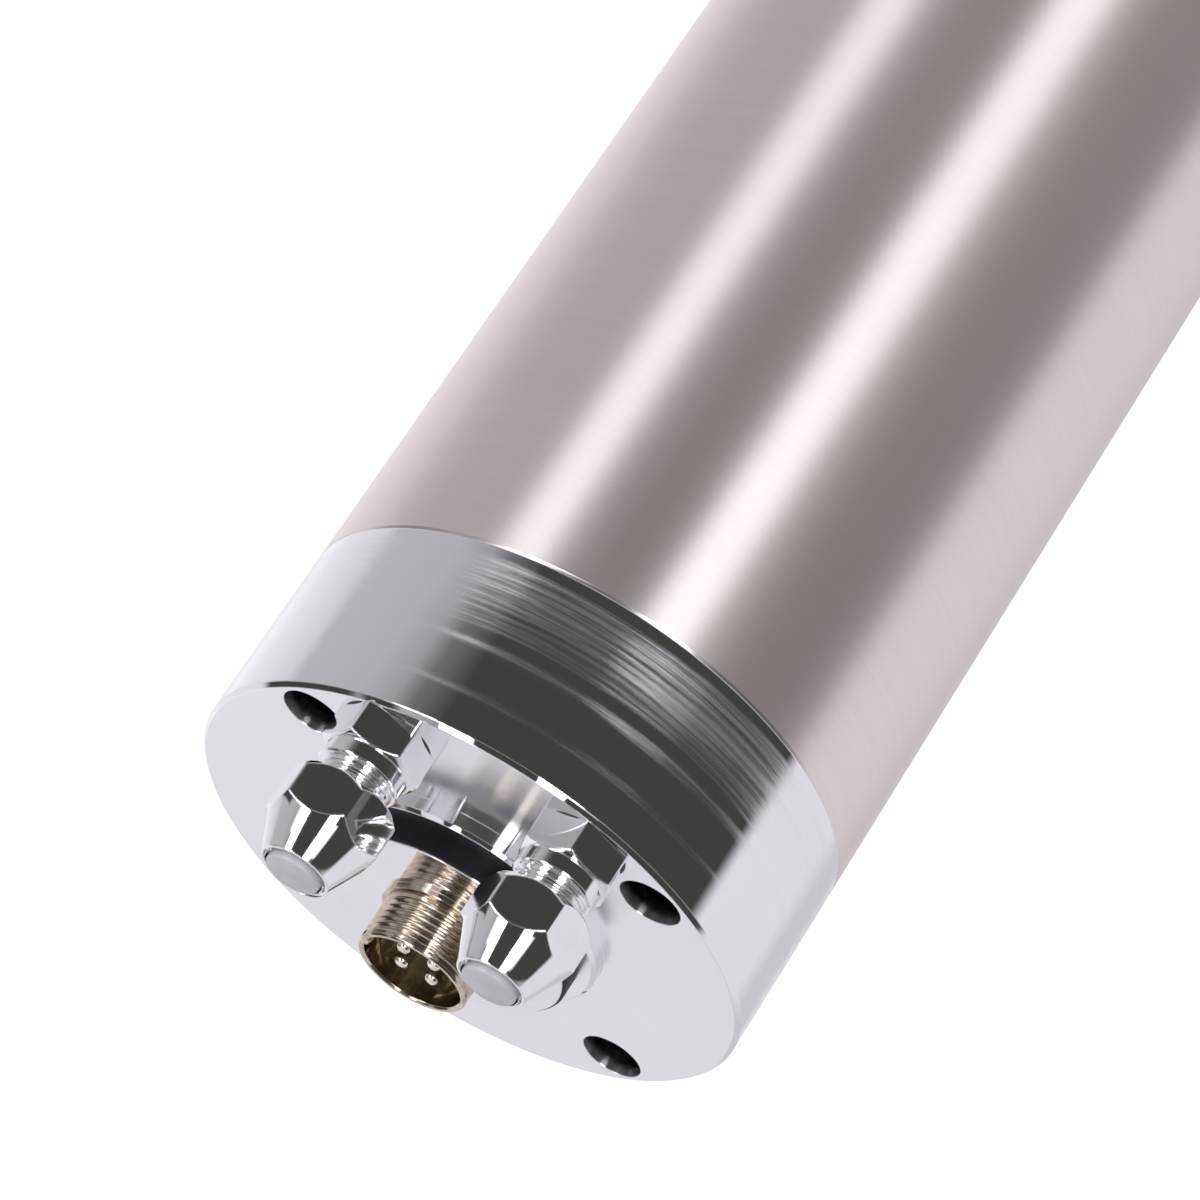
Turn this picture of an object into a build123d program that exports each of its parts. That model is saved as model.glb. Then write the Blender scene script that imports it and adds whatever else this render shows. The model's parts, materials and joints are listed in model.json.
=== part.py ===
from build123d import *
import os
from math import cos, radians, sin, sqrt, tan

# Water-cooled motor spindle, 80 mm body, ER11 collet.
# Millimetres. The origin is on the spindle axis at the nose end of the body,
# +Z runs up the axis towards the rear cover, and the two coolant fittings
# stand on the -Y side of the cover, one each side of the X = 0 plane.

os.makedirs("parts", exist_ok=True)

# ---------------------------------------------------------------- sizes
slip = 0.05               # radial clearance of parts pushed together at assembly
running_gap = 0.06        # radial clearance of parts that turn on each other
edge_break = 0.6          # chamfer on the body's outer edges
seam_break = 0.25         # chamfer where the sleeve meets its end pieces

# body
body_radius = 40.0
flange_thickness = 14.0   # front bearing housing's flange
sleeve_length = 147.3
cover_length = 26.7
sleeve_wall = 2.0
jacket_wall = 8.4
rear_flange_thickness = 5.0

# serpentine coolant channel in the jacket
channel_passes = 12
channel_width = 8.6
channel_depth = 4.2
channel_margin = 21.5     # from each end of the jacket
port_angle = 25.0         # each coolant port, measured from -Y
port_circle = 33.0
passage_radius = 2.0

# square-section seals round the jacket
seal_margin = 17.5
seal_section = 0.85       # half the section's side
seal_groove_width = 2.6

# M5 screws that hold the two end pieces to the jacket
screw_circle = 34.5
screw_count = 4
screw_start_angle = 45.0
screw_radius = 2.5
screw_head_radius = 4.15
screw_head_height = 5.0
screw_grip_in_jacket = 10.0
screw_end_gap = 2.0       # tapped hole beyond the screw
counterbore_radius = 4.35
front_counterbore_depth = 6.0
cover_counterbore_depth = 20.0
key_across_flats = 4.0
key_depth = 2.5
thread_clearance = 0.05
clearance_hole_extra = 0.25

# front cap
cap_radius = 29.8
cap_thickness = 6.0
cap_spigot_height = 5.0
cap_spigot_inner = 19.6
cap_screw_circle = 26.2
cap_screw_count = 4
cap_screw_radius = 1.5
cap_screw_head_radius = 2.7
cap_screw_head_height = 3.0
cap_counterbore_depth = 3.3
cap_screw_length = 9.0
cap_key_across_flats = 2.5
labyrinth_gap = 0.3

# front bearings, 25 x 47 x 12
front_bore = 12.5
front_outer = 23.5
front_width = 12.0
front_ring_wall = 3.0
front_ball = 3.2
front_spacer_length = 3.0
front_shoulder_inner = 20.0
front_spigot_wall = 6.0   # beyond the bearings' shoulder

# rear bearing, 15 x 32 x 9
rear_bore = 7.5
rear_outer = 16.0
rear_width = 9.0
rear_ring_wall = 2.4
rear_ball = 2.3
groove_clearance = 0.05

# rear bearing housing
rear_hub_radius = 19.0
rear_hub_reach = 6.8      # below the rear flange
rear_hub_length = 14.0
rear_hub_shoulder = 2.0
rear_hub_shoulder_inner = 12.5
register_height = 2.0
spring_thickness = 0.6
spring_cone = 0.4
spring_edge = 0.6         # spring's bore inside the outer ring's

# stator
stator_gap = 24.0         # from the front spigot to the stator core
stator_length = 70.0
stator_bore = 16.5
slot_count = 18
slot_mouth = 1.6
slot_lip = 0.9
slot_inner_width = 2.6
slot_outer_width = 4.4
slot_bottom_radius = 24.6
slot_liner = 0.15
end_turn_length = 14.0
end_turn_wall = 7.0
end_turn_chamfer = 2.0

# rotor
air_gap = 0.4
rotor_seat = 11.0
bar_count = 10
bar_width = 1.8
bar_depth = 3.0
bar_cover = 0.6
end_ring_length = 6.0
end_ring_margin = 0.3     # beyond the bars, inwards and outwards

# shaft
shaft_collar_radius = 15.0
shaft_collar_length = 4.0
nose_radius = 10.0
nose_length = 16.0        # from the body face down to the nut's thread
flat_across = 17.0
flat_length = 7.0
front_nut_radius = 17.0
front_nut_length = 7.0
rear_nut_radius = 11.5
rear_nut_length = 6.0
nut_slot_width = 3.0
nut_slot_depth = 1.4
nut_slot_count = 4
draw_bore = 3.4
draw_bore_depth = 28.0
shaft_end_reach = 1.5     # beyond the rear lock nut
bearing_seat_relief = 0.01

# ER11 collet and nut
thread_radius = 6.9
thread_length = 10.0
collet_radius = 5.75
collet_length = 18.0
collet_bore = 3.0
collet_taper = 8.0        # degrees, half angle
collet_lead = 3.0         # length that stands out of the shaft
collet_nose_angle = 30.0  # degrees, half angle
collet_nose_length = 1.7
collet_groove_depth = 0.75
collet_groove_width = 1.2
socket_relief = 1.0       # behind the collet
collet_slit_width = 0.6
collet_slit_count = 4
collet_slit_margin = 3.5
taper_clearance = 0.04
nut_across_flats = 17.0
nut_hex_length = 6.5
nut_length = 11.5
nut_nose_radius = 8.0
nut_face_lead = 1.0       # nut's face below the collet's face
nut_lip_width = 0.7
nut_lip_bite = 0.55       # lip's hold in the collet's groove
nut_relief = 0.3          # round the collet, inside the nut
nut_cone_clearance = 0.08
nut_mouth_gap = 0.4       # between the nut's cone and the collet's groove
nut_thread_run_out = 0.5

# rear cover
cavity_radius = 27.0
cavity_depth = 18.0
boss_radius = 20.3
boss_height = 2.4
boss_chamfer = 0.5
socket_recess_radius = 13.5
socket_wall = 3.0
port_thread_depth = 7.5

# coolant fittings
port_thread_radius = 5.0
fitting_across_flats = 13.0
fitting_hex_height = 4.8
fitting_neck_radius = 5.7
fitting_neck_height = 1.4
fitting_thread_end = 13.2
fitting_bore = 2.5
fitting_socket_depth = 3.6
fitting_cone = 0.6
seal_washer_thickness = 0.5
seal_washer_radius = 6.2

# hose nuts, ferrules and plugs
hose_radius = 4.0
hose_nut_start = 8.8
hose_nut_hex_height = 5.6
hose_nut_end = 20.7
hose_nut_across_flats = 12.0
hose_nut_cone_radius = 6.1
hose_nut_mouth_radius = 4.9
ferrule_length = 2.6
ferrule_radius = 4.75
plug_length = 13.2
plug_chamfer = 0.3
plug_end_gap = 0.2        # between the plug and the bottom of the hose socket
ferrule_gap = 0.05        # between the ferrule and the nut's seat

# power connector, 16 mm thread, four pins
connector_radius = 8.0
connector_height = 14.0   # rim above the cover's face
connector_bore = 7.1
connector_rear_radius = 7.5
connector_rear_length = 6.5
connector_collar_radius = 8.7
connector_collar_height = 0.8
connector_wall_above_insert = 0.4
rim_chamfer = 0.25
plate_chamfer = 0.15
pin_chamfer = 0.42
gasket_radius = 18.0
gasket_height = 3.6
gasket_rim = 1.3
plate_thickness = 0.8
insert_radius = 6.6
insert_height = 7.4       # insert's face above the cover's face
insert_depth = 8.0
pin_radius = 1.05
pin_spacing = 4.5
pin_top = 12.9
pin_tail = 10.5
key_width = 1.6
key_rise = 0.6
key_angle = -15.0
key_length = 5.0
panel_nut_across_flats = 19.0
panel_nut_thickness = 3.0

# lead wires
wire_radius = 0.85
wire_hole_radius = 2.8
wire_hole_circle = 22.9
wire_pitch = 2.1
wire_drop = 5.0
wire_layer = 2.6          # height between the two layers of leads
wire_hub_gap = 1.5        # between the leads and the bearing hub's face

# ---------------------------------------------------------------- places
sleeve_bottom = flange_thickness
sleeve_top = sleeve_bottom + sleeve_length
body_top = sleeve_top + cover_length
sleeve_inner = body_radius - sleeve_wall
jacket_outer = sleeve_inner - slip
jacket_inner = jacket_outer - jacket_wall
jacket_bottom = sleeve_bottom
seal_groove_floor = sleeve_inner - 2 * seal_section
jacket_top = sleeve_top - rear_flange_thickness
spigot_radius = jacket_inner - slip
tapped_depth = screw_grip_in_jacket + screw_end_gap

front_seat = front_outer + slip
front_bearing_one = cap_spigot_height
front_bearing_two = front_bearing_one + front_width + front_spacer_length
front_shoulder = front_bearing_two + front_width
front_spigot_end = front_shoulder + front_spigot_wall
front_pitch = (front_bore + front_outer) / 2

rear_hub_start = jacket_top - rear_hub_reach
rear_bearing_start = rear_hub_start + rear_hub_shoulder + 2 * (spring_thickness + spring_cone)
rear_bearing_end = rear_bearing_start + rear_width
rear_hub_end = rear_hub_start + rear_hub_length
rear_pitch = (rear_bore + rear_outer) / 2

stator_radius = jacket_inner - slip
stator_start = front_spigot_end + stator_gap
stator_end = stator_start + stator_length
rotor_radius = stator_bore - air_gap
bar_outer = rotor_radius - bar_cover
bar_inner = bar_outer - bar_depth

cavity_top = sleeve_top + cavity_depth
boss_top = body_top + boss_height
gasket_top = boss_top + gasket_height
rim_top = body_top + connector_height
insert_face = body_top + insert_height
socket_wall_bottom = boss_top - socket_wall

shaft_nose_face = -(nose_length + thread_length)
collet_face = shaft_nose_face - collet_lead
nut_face = collet_face - nut_face_lead
PORTS = {"inlet": 270.0 + port_angle, "outlet": 270.0 - port_angle}


def port_centre(angle):
    return (port_circle * cos(radians(angle)), port_circle * sin(radians(angle)))


def at_angle(angle, height):
    """Plane at a height, turned so that its X axis points out along the angle."""
    return Plane(
        origin=(0, 0, height),
        x_dir=(cos(radians(angle)), sin(radians(angle)), 0),
        z_dir=(0, 0, 1),
    )


def turn(points, mode=Mode.ADD):
    """Revolve a closed outline of (radius, height) points about the spindle axis."""
    with BuildSketch(Plane.XZ) as outline:
        with BuildLine():
            Polyline(points, close=True)
        make_face()
    revolve(outline.sketch, axis=Axis.Z, mode=mode)


def drill(bottom, depth, radius, circle, count, start_angle):
    """Cut a ring of round holes upwards from a height."""
    with BuildSketch(Plane.XY.offset(bottom)) as holes:
        with PolarLocations(circle, count, start_angle=start_angle):
            Circle(radius)
    extrude(holes.sketch, amount=depth, mode=Mode.SUBTRACT)


def bore_port(bottom, depth, radius, angle):
    """Cut one round hole upwards from a height on a coolant port's axis."""
    with BuildSketch(Plane.XY.offset(bottom)) as hole:
        with Locations(port_centre(angle)):
            Circle(radius)
    extrude(hole.sketch, amount=depth, mode=Mode.SUBTRACT)


def socket_screws(seat, up, head, shank, key, circle, count, start_angle):
    """Ring of cap screws. up is +1 where the heads are above their seat, -1 where below."""
    head_radius, head_height = head
    shank_radius, shank_length = shank
    key_flats, key_deep = key
    head_face = seat + up * head_height
    with BuildSketch(Plane.XY.offset(seat)) as heads:
        with PolarLocations(circle, count, start_angle=start_angle):
            Circle(head_radius)
    extrude(heads.sketch, amount=up * head_height)
    with BuildSketch(Plane.XY.offset(seat)) as shanks:
        with PolarLocations(circle, count, start_angle=start_angle):
            Circle(shank_radius)
    extrude(shanks.sketch, amount=-up * shank_length)
    with BuildSketch(Plane.XY.offset(head_face)) as keys:
        with PolarLocations(circle, count, start_angle=start_angle):
            RegularPolygon(key_flats / 2, 6, major_radius=False)
    extrude(keys.sketch, amount=-up * key_deep, mode=Mode.SUBTRACT)


def row_outline(pitch, middle, ball):
    """Octagonal section of a row of caged balls."""
    flat = ball * tan(radians(22.5))
    return [
        (pitch - ball, middle - flat),
        (pitch - flat, middle - ball),
        (pitch + flat, middle - ball),
        (pitch + ball, middle - flat),
        (pitch + ball, middle + flat),
        (pitch + flat, middle + ball),
        (pitch - flat, middle + ball),
        (pitch - ball, middle + flat),
    ]


def bearing_ring(inner, outer, bottom, width, pitch, ball):
    """One bearing ring with its groove."""
    turn([(inner, bottom), (outer, bottom), (outer, bottom + width), (inner, bottom + width)])
    turn(row_outline(pitch, bottom + width / 2, ball + groove_clearance), Mode.SUBTRACT)


def lock_nut(bore, outer, bottom, length):
    """Slotted round nut."""
    with BuildSketch(Plane.XY.offset(bottom)) as nut_face_shape:
        Circle(outer)
        Circle(bore, mode=Mode.SUBTRACT)
        with PolarLocations(outer, nut_slot_count):
            Rectangle(2 * nut_slot_depth, nut_slot_width, mode=Mode.SUBTRACT)
    extrude(nut_face_shape.sketch, amount=length)


def hex_chamfer(across_flats, low, high, axis, both_ends):
    """Round the corners of a hexagon at its high end, or at both, with a 30 degree cone."""
    corner = across_flats / sqrt(3)
    drop = (corner - across_flats / 2) * tan(radians(30))
    outline = [(0, low), (corner, low), (corner, high - drop), (across_flats / 2, high), (0, high)]
    if both_ends:
        outline[1:2] = [(across_flats / 2, low), (corner, low + drop)]
    profile_plane = Plane(origin=(axis[0], axis[1], 0), x_dir=(1, 0, 0), z_dir=(0, -1, 0))
    with BuildSketch(profile_plane) as cone:
        with BuildLine():
            Polyline(outline, close=True)
        make_face()
    revolve(cone.sketch, axis=Axis((axis[0], axis[1], 0), (0, 0, 1)), mode=Mode.INTERSECT)


# ---------------------------------------------------------------- body shell

# Stainless outer sleeve: a plain drawn tube.
with BuildPart() as outer_sleeve:
    with BuildSketch(Plane.XY.offset(sleeve_bottom)):
        Circle(body_radius)
        Circle(sleeve_inner, mode=Mode.SUBTRACT)
    extrude(amount=sleeve_length)
    chamfer(outer_sleeve.edges().filter_by(GeomType.CIRCLE).group_by(SortBy.RADIUS)[-1], seam_break)
outer_sleeve.part.label = "outer_sleeve"
export_step(outer_sleeve.part, "parts/outer_sleeve.step")

# Aluminium water jacket. The coolant runs up and down through a serpentine
# channel milled in its outside, from the inlet port round to the outlet port.
channel_bottom = jacket_bottom + channel_margin
channel_top = jacket_top - channel_margin
channel_floor = jacket_outer - channel_depth
channel_start_angle = PORTS["inlet"]
channel_span = 360 - 2 * port_angle
channel_step = channel_span / (channel_passes - 1)
with BuildPart() as water_jacket:
    with BuildSketch(Plane.XY.offset(jacket_bottom)):
        Circle(jacket_outer)
        Circle(jacket_inner, mode=Mode.SUBTRACT)
    extrude(amount=jacket_top - jacket_bottom)
    for index in range(channel_passes):
        pass_angle = channel_start_angle + channel_step * index
        with BuildSketch(at_angle(pass_angle, channel_bottom)):
            with Locations((jacket_outer, 0)):
                Rectangle(2 * channel_depth, channel_width)
        extrude(amount=channel_top - channel_bottom, mode=Mode.SUBTRACT)
    for index in range(channel_passes - 1):
        turn_bottom = channel_bottom if index % 2 == 0 else channel_top - channel_width
        from_angle = channel_start_angle + channel_step * index
        to_angle = from_angle + channel_step
        reach = 2 * body_radius
        with BuildSketch(Plane.XY.offset(turn_bottom)):
            Circle(body_radius)
            Circle(channel_floor, mode=Mode.SUBTRACT)
            with BuildLine():
                Polyline(
                    (0, 0),
                    (reach * cos(radians(from_angle)), reach * sin(radians(from_angle))),
                    (reach * cos(radians(to_angle)), reach * sin(radians(to_angle))),
                    close=True,
                )
            make_face(mode=Mode.INTERSECT)
        extrude(amount=channel_width, mode=Mode.SUBTRACT)
    for seal_middle in (jacket_bottom + seal_margin, jacket_top - seal_margin):
        with BuildSketch(Plane.XY.offset(seal_middle - seal_groove_width / 2)):
            Circle(body_radius)
            Circle(seal_groove_floor, mode=Mode.SUBTRACT)
        extrude(amount=seal_groove_width, mode=Mode.SUBTRACT)
    for tapped_bottom in (jacket_bottom, jacket_top - tapped_depth):
        drill(
            tapped_bottom, tapped_depth, screw_radius + thread_clearance,
            screw_circle, screw_count, screw_start_angle,
        )
    for angle in PORTS.values():
        bore_port(
            channel_top - channel_width, jacket_top - channel_top + channel_width,
            passage_radius, angle,
        )
water_jacket.part.label = "water_jacket"
export_step(water_jacket.part, "parts/water_jacket.step")

with BuildPart() as jacket_seals:
    for seal_middle in (jacket_bottom + seal_margin, jacket_top - seal_margin):
        with BuildSketch(Plane.XY.offset(seal_middle - seal_section)):
            Circle(sleeve_inner)
            Circle(seal_groove_floor, mode=Mode.SUBTRACT)
        extrude(amount=2 * seal_section)
jacket_seals.part.label = "jacket_seals"
export_step(jacket_seals.part, "parts/jacket_seals.step")

# Front bearing housing: flange on the end of the body, spigot in the jacket.
with BuildPart() as front_bearing_housing:
    turn([
        (front_seat, 0),
        (body_radius - edge_break, 0),
        (body_radius, edge_break),
        (body_radius, flange_thickness),
        (spigot_radius, flange_thickness),
        (spigot_radius, front_spigot_end),
        (front_shoulder_inner, front_spigot_end),
        (front_shoulder_inner, front_shoulder),
        (front_seat, front_shoulder),
    ])
    drill(
        0, flange_thickness, screw_radius + clearance_hole_extra,
        screw_circle, screw_count, screw_start_angle,
    )
    drill(
        0, front_counterbore_depth, counterbore_radius,
        screw_circle, screw_count, screw_start_angle,
    )
    drill(
        0, cap_screw_length, cap_screw_radius + thread_clearance,
        cap_screw_circle, cap_screw_count, 0,
    )
front_bearing_housing.part.label = "front_bearing_housing"
export_step(front_bearing_housing.part, "parts/front_bearing_housing.step")

with BuildPart() as front_flange_screws:
    socket_screws(
        front_counterbore_depth, -1,
        (screw_head_radius, screw_head_height),
        (screw_radius, flange_thickness - front_counterbore_depth + screw_grip_in_jacket),
        (key_across_flats, key_depth),
        screw_circle, screw_count, screw_start_angle,
    )
front_flange_screws.part.label = "front_flange_screws"
export_step(front_flange_screws.part, "parts/front_flange_screws.step")

# Front cap: its spigot clamps the bearings, its bore is the labyrinth round the nose.
with BuildPart() as front_cap:
    turn([
        (nose_radius + labyrinth_gap, -cap_thickness),
        (cap_radius - edge_break, -cap_thickness),
        (cap_radius, edge_break - cap_thickness),
        (cap_radius, 0),
        (front_outer, 0),
        (front_outer, cap_spigot_height),
        (cap_spigot_inner, cap_spigot_height),
        (cap_spigot_inner, 0),
        (nose_radius + labyrinth_gap, 0),
    ])
    drill(
        -cap_thickness, cap_thickness, cap_screw_radius + clearance_hole_extra,
        cap_screw_circle, cap_screw_count, 0,
    )
    drill(
        -cap_thickness, cap_counterbore_depth, cap_screw_head_radius + clearance_hole_extra,
        cap_screw_circle, cap_screw_count, 0,
    )
front_cap.part.label = "front_cap"
export_step(front_cap.part, "parts/front_cap.step")

with BuildPart() as front_cap_screws:
    socket_screws(
        cap_counterbore_depth - cap_thickness, -1,
        (cap_screw_head_radius, cap_screw_head_height),
        (cap_screw_radius, cap_screw_length),
        (cap_key_across_flats, cap_screw_head_height / 2),
        cap_screw_circle, cap_screw_count, 0,
    )
front_cap_screws.part.label = "front_cap_screws"
export_step(front_cap_screws.part, "parts/front_cap_screws.step")

# ---------------------------------------------------------------- bearings

# Each row of balls, with its cage, is one ring that turns between the races.

with BuildPart() as front_outer_rings:
    for bottom in (front_bearing_one, front_bearing_two):
        bearing_ring(
            front_outer - front_ring_wall, front_outer, bottom, front_width,
            front_pitch, front_ball,
        )
front_outer_rings.part.label = "front_outer_rings"
export_step(front_outer_rings.part, "parts/front_outer_rings.step")

with BuildPart() as front_inner_rings:
    for bottom in (front_bearing_one, front_bearing_two):
        bearing_ring(
            front_bore, front_bore + front_ring_wall, bottom, front_width,
            front_pitch, front_ball,
        )
front_inner_rings.part.label = "front_inner_rings"
export_step(front_inner_rings.part, "parts/front_inner_rings.step")

spacer_bottom = front_bearing_one + front_width
with BuildPart() as outer_spacer:
    with BuildSketch(Plane.XY.offset(spacer_bottom)):
        Circle(front_outer)
        Circle(front_outer - front_ring_wall, mode=Mode.SUBTRACT)
    extrude(amount=front_spacer_length)
outer_spacer.part.label = "outer_spacer"
export_step(outer_spacer.part, "parts/outer_spacer.step")

with BuildPart() as inner_spacer:
    with BuildSketch(Plane.XY.offset(spacer_bottom)):
        Circle(front_bore + front_ring_wall)
        Circle(front_bore, mode=Mode.SUBTRACT)
    extrude(amount=front_spacer_length)
inner_spacer.part.label = "inner_spacer"
export_step(inner_spacer.part, "parts/inner_spacer.step")

with BuildPart() as front_ball_rows:
    for bottom in (front_bearing_one, front_bearing_two):
        turn(row_outline(front_pitch, bottom + front_width / 2, front_ball))
front_ball_rows.part.label = "front_ball_rows"
export_step(front_ball_rows.part, "parts/front_ball_rows.step")

with BuildPart() as rear_outer_ring:
    bearing_ring(
        rear_outer - rear_ring_wall, rear_outer, rear_bearing_start, rear_width,
        rear_pitch, rear_ball,
    )
rear_outer_ring.part.label = "rear_outer_ring"
export_step(rear_outer_ring.part, "parts/rear_outer_ring.step")

with BuildPart() as rear_inner_ring:
    bearing_ring(
        rear_bore, rear_bore + rear_ring_wall, rear_bearing_start, rear_width,
        rear_pitch, rear_ball,
    )
rear_inner_ring.part.label = "rear_inner_ring"
export_step(rear_inner_ring.part, "parts/rear_inner_ring.step")

with BuildPart() as rear_ball_row:
    turn(row_outline(rear_pitch, rear_bearing_start + rear_width / 2, rear_ball))
rear_ball_row.part.label = "rear_ball_row"
export_step(rear_ball_row.part, "parts/rear_ball_row.step")

# ---------------------------------------------------------------- motor

# Laminated stator core with half-closed slots.
with BuildPart() as stator_core:
    with BuildSketch(Plane.XY.offset(stator_start)):
        Circle(stator_radius)
        Circle(stator_bore, mode=Mode.SUBTRACT)
        with PolarLocations(0, slot_count):
            Polygon(
                (stator_bore - slot_lip, -slot_mouth / 2),
                (stator_bore + slot_lip, -slot_mouth / 2),
                (stator_bore + 2 * slot_lip, -slot_inner_width / 2),
                (slot_bottom_radius, -slot_outer_width / 2),
                (slot_bottom_radius, slot_outer_width / 2),
                (stator_bore + 2 * slot_lip, slot_inner_width / 2),
                (stator_bore + slot_lip, slot_mouth / 2),
                (stator_bore - slot_lip, slot_mouth / 2),
                align=None,
                mode=Mode.SUBTRACT,
            )
    extrude(amount=stator_length)
stator_core.part.label = "stator_core"
export_step(stator_core.part, "parts/stator_core.step")

# Windings: the coil sides in the slots and the two bundles of end turns.
coil_inner = stator_bore + 2 * slot_lip + slot_liner
coil_outer = slot_bottom_radius - slot_liner
with BuildPart() as stator_windings:
    with BuildSketch(Plane.XY.offset(stator_start)):
        with PolarLocations(0, slot_count):
            Polygon(
                (coil_inner, slot_liner - slot_inner_width / 2),
                (coil_outer, slot_liner - slot_outer_width / 2),
                (coil_outer, slot_outer_width / 2 - slot_liner),
                (coil_inner, slot_inner_width / 2 - slot_liner),
                align=None,
            )
    extrude(amount=stator_length)
    for bottom in (stator_start - end_turn_length, stator_end):
        with BuildSketch(Plane.XZ) as end_turns:
            with Locations((coil_outer - end_turn_wall / 2, bottom + end_turn_length / 2)):
                Rectangle(end_turn_wall, end_turn_length)
            chamfer(end_turns.vertices(), end_turn_chamfer)
        revolve(axis=Axis.Z)
stator_windings.part.label = "stator_windings"
export_step(stator_windings.part, "parts/stator_windings.step")

with BuildPart() as rotor_core:
    with BuildSketch(Plane.XY.offset(stator_start)):
        Circle(rotor_radius)
        Circle(rotor_seat + slip, mode=Mode.SUBTRACT)
        with PolarLocations((bar_inner + bar_outer) / 2, bar_count):
            Rectangle(bar_depth, bar_width, mode=Mode.SUBTRACT)
    extrude(amount=stator_length)
rotor_core.part.label = "rotor_core"
export_step(rotor_core.part, "parts/rotor_core.step")

# Cast cage: the bars in the rotor core and a ring at each end.
with BuildPart() as rotor_cage:
    with BuildSketch(Plane.XY.offset(stator_start)):
        with PolarLocations((bar_inner + bar_outer) / 2, bar_count):
            Rectangle(bar_depth - 2 * slip, bar_width - 2 * slip)
    extrude(amount=stator_length)
    for bottom in (stator_start - end_ring_length, stator_end):
        with BuildSketch(Plane.XY.offset(bottom)):
            Circle(bar_outer + end_ring_margin)
            Circle(bar_inner - end_ring_margin, mode=Mode.SUBTRACT)
        extrude(amount=end_ring_length)
rotor_cage.part.label = "rotor_cage"
export_step(rotor_cage.part, "parts/rotor_cage.step")

# ---------------------------------------------------------------- shaft

taper = tan(radians(collet_taper))
taper_start = collet_face + collet_nose_length + collet_groove_width
socket_mouth = collet_radius + taper_clearance - (shaft_nose_face - taper_start) * taper
socket_end = collet_face + collet_length + socket_relief
socket_end_radius = socket_mouth - (socket_end - shaft_nose_face) * taper
front_nut_bottom = front_shoulder
front_nut_top = front_nut_bottom + front_nut_length
rear_nut_top = rear_bearing_end + rear_nut_length
shaft_top = rear_nut_top + shaft_end_reach
front_seat_radius = front_bore - bearing_seat_relief
rear_seat_radius = rear_bore - bearing_seat_relief
with BuildPart() as shaft:
    turn([
        (0, shaft_nose_face + draw_bore_depth),
        (draw_bore, shaft_nose_face + draw_bore_depth),
        (draw_bore, socket_end),
        (socket_end_radius, socket_end),
        (socket_mouth, shaft_nose_face),
        (thread_radius - edge_break, shaft_nose_face),
        (thread_radius, shaft_nose_face + edge_break),
        (thread_radius, -nose_length),
        (nose_radius - edge_break, -nose_length),
        (nose_radius, edge_break - nose_length),
        (nose_radius, front_bearing_one - shaft_collar_length),
        (shaft_collar_radius, front_bearing_one - shaft_collar_length),
        (shaft_collar_radius, front_bearing_one),
        (front_seat_radius, front_bearing_one),
        (front_seat_radius, front_nut_top),
        (rotor_seat, front_nut_top),
        (rotor_seat, stator_end + end_ring_length),
        (rear_bore + rear_ring_wall / 2, stator_end + end_ring_length),
        (rear_bore + rear_ring_wall / 2, rear_bearing_start),
        (rear_seat_radius, rear_bearing_start),
        (rear_seat_radius, shaft_top - edge_break),
        (rear_seat_radius - edge_break, shaft_top),
        (0, shaft_top),
    ])
    for side in (-1, 1):
        with BuildSketch(Plane.XY.offset(-nose_length)):
            with Locations((side * flat_across, 0)):
                Rectangle(flat_across, 3 * nose_radius)
        extrude(amount=flat_length, mode=Mode.SUBTRACT)
shaft.part.label = "shaft"
export_step(shaft.part, "parts/shaft.step")

with BuildPart() as front_lock_nut:
    lock_nut(front_bore, front_nut_radius, front_nut_bottom, front_nut_length)
front_lock_nut.part.label = "front_lock_nut"
export_step(front_lock_nut.part, "parts/front_lock_nut.step")

with BuildPart() as rear_lock_nut:
    lock_nut(rear_bore, rear_nut_radius, rear_bearing_end, rear_nut_length)
rear_lock_nut.part.label = "rear_lock_nut"
export_step(rear_lock_nut.part, "parts/rear_lock_nut.step")

# ---------------------------------------------------------------- collet

# ER11 collet, slit alternately from its front and its back.
groove_bottom = collet_face + collet_nose_length
collet_back = collet_face + collet_length
collet_back_radius = collet_radius - (collet_back - taper_start) * taper
collet_nose_radius = collet_radius - collet_nose_length * tan(radians(collet_nose_angle))
slit_length = collet_length - collet_slit_margin
with BuildPart() as collet:
    turn([
        (collet_bore, collet_face),
        (collet_nose_radius, collet_face),
        (collet_radius, groove_bottom),
        (collet_radius - collet_groove_depth, groove_bottom),
        (collet_radius - collet_groove_depth, taper_start),
        (collet_radius, taper_start),
        (collet_back_radius, collet_back),
        (collet_bore, collet_back),
    ])
    for index in range(collet_slit_count):
        front_angle = 360 / collet_slit_count * index
        back_angle = front_angle + 180 / collet_slit_count
        with BuildSketch(at_angle(front_angle, collet_face)):
            with Locations((collet_radius, 0)):
                Rectangle(2 * collet_radius, collet_slit_width)
        extrude(amount=slit_length, mode=Mode.SUBTRACT)
        with BuildSketch(at_angle(back_angle, collet_back)):
            with Locations((collet_radius, 0)):
                Rectangle(2 * collet_radius, collet_slit_width)
        extrude(amount=-slit_length, mode=Mode.SUBTRACT)
collet.part.label = "collet"
export_step(collet.part, "parts/collet.step")

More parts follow.
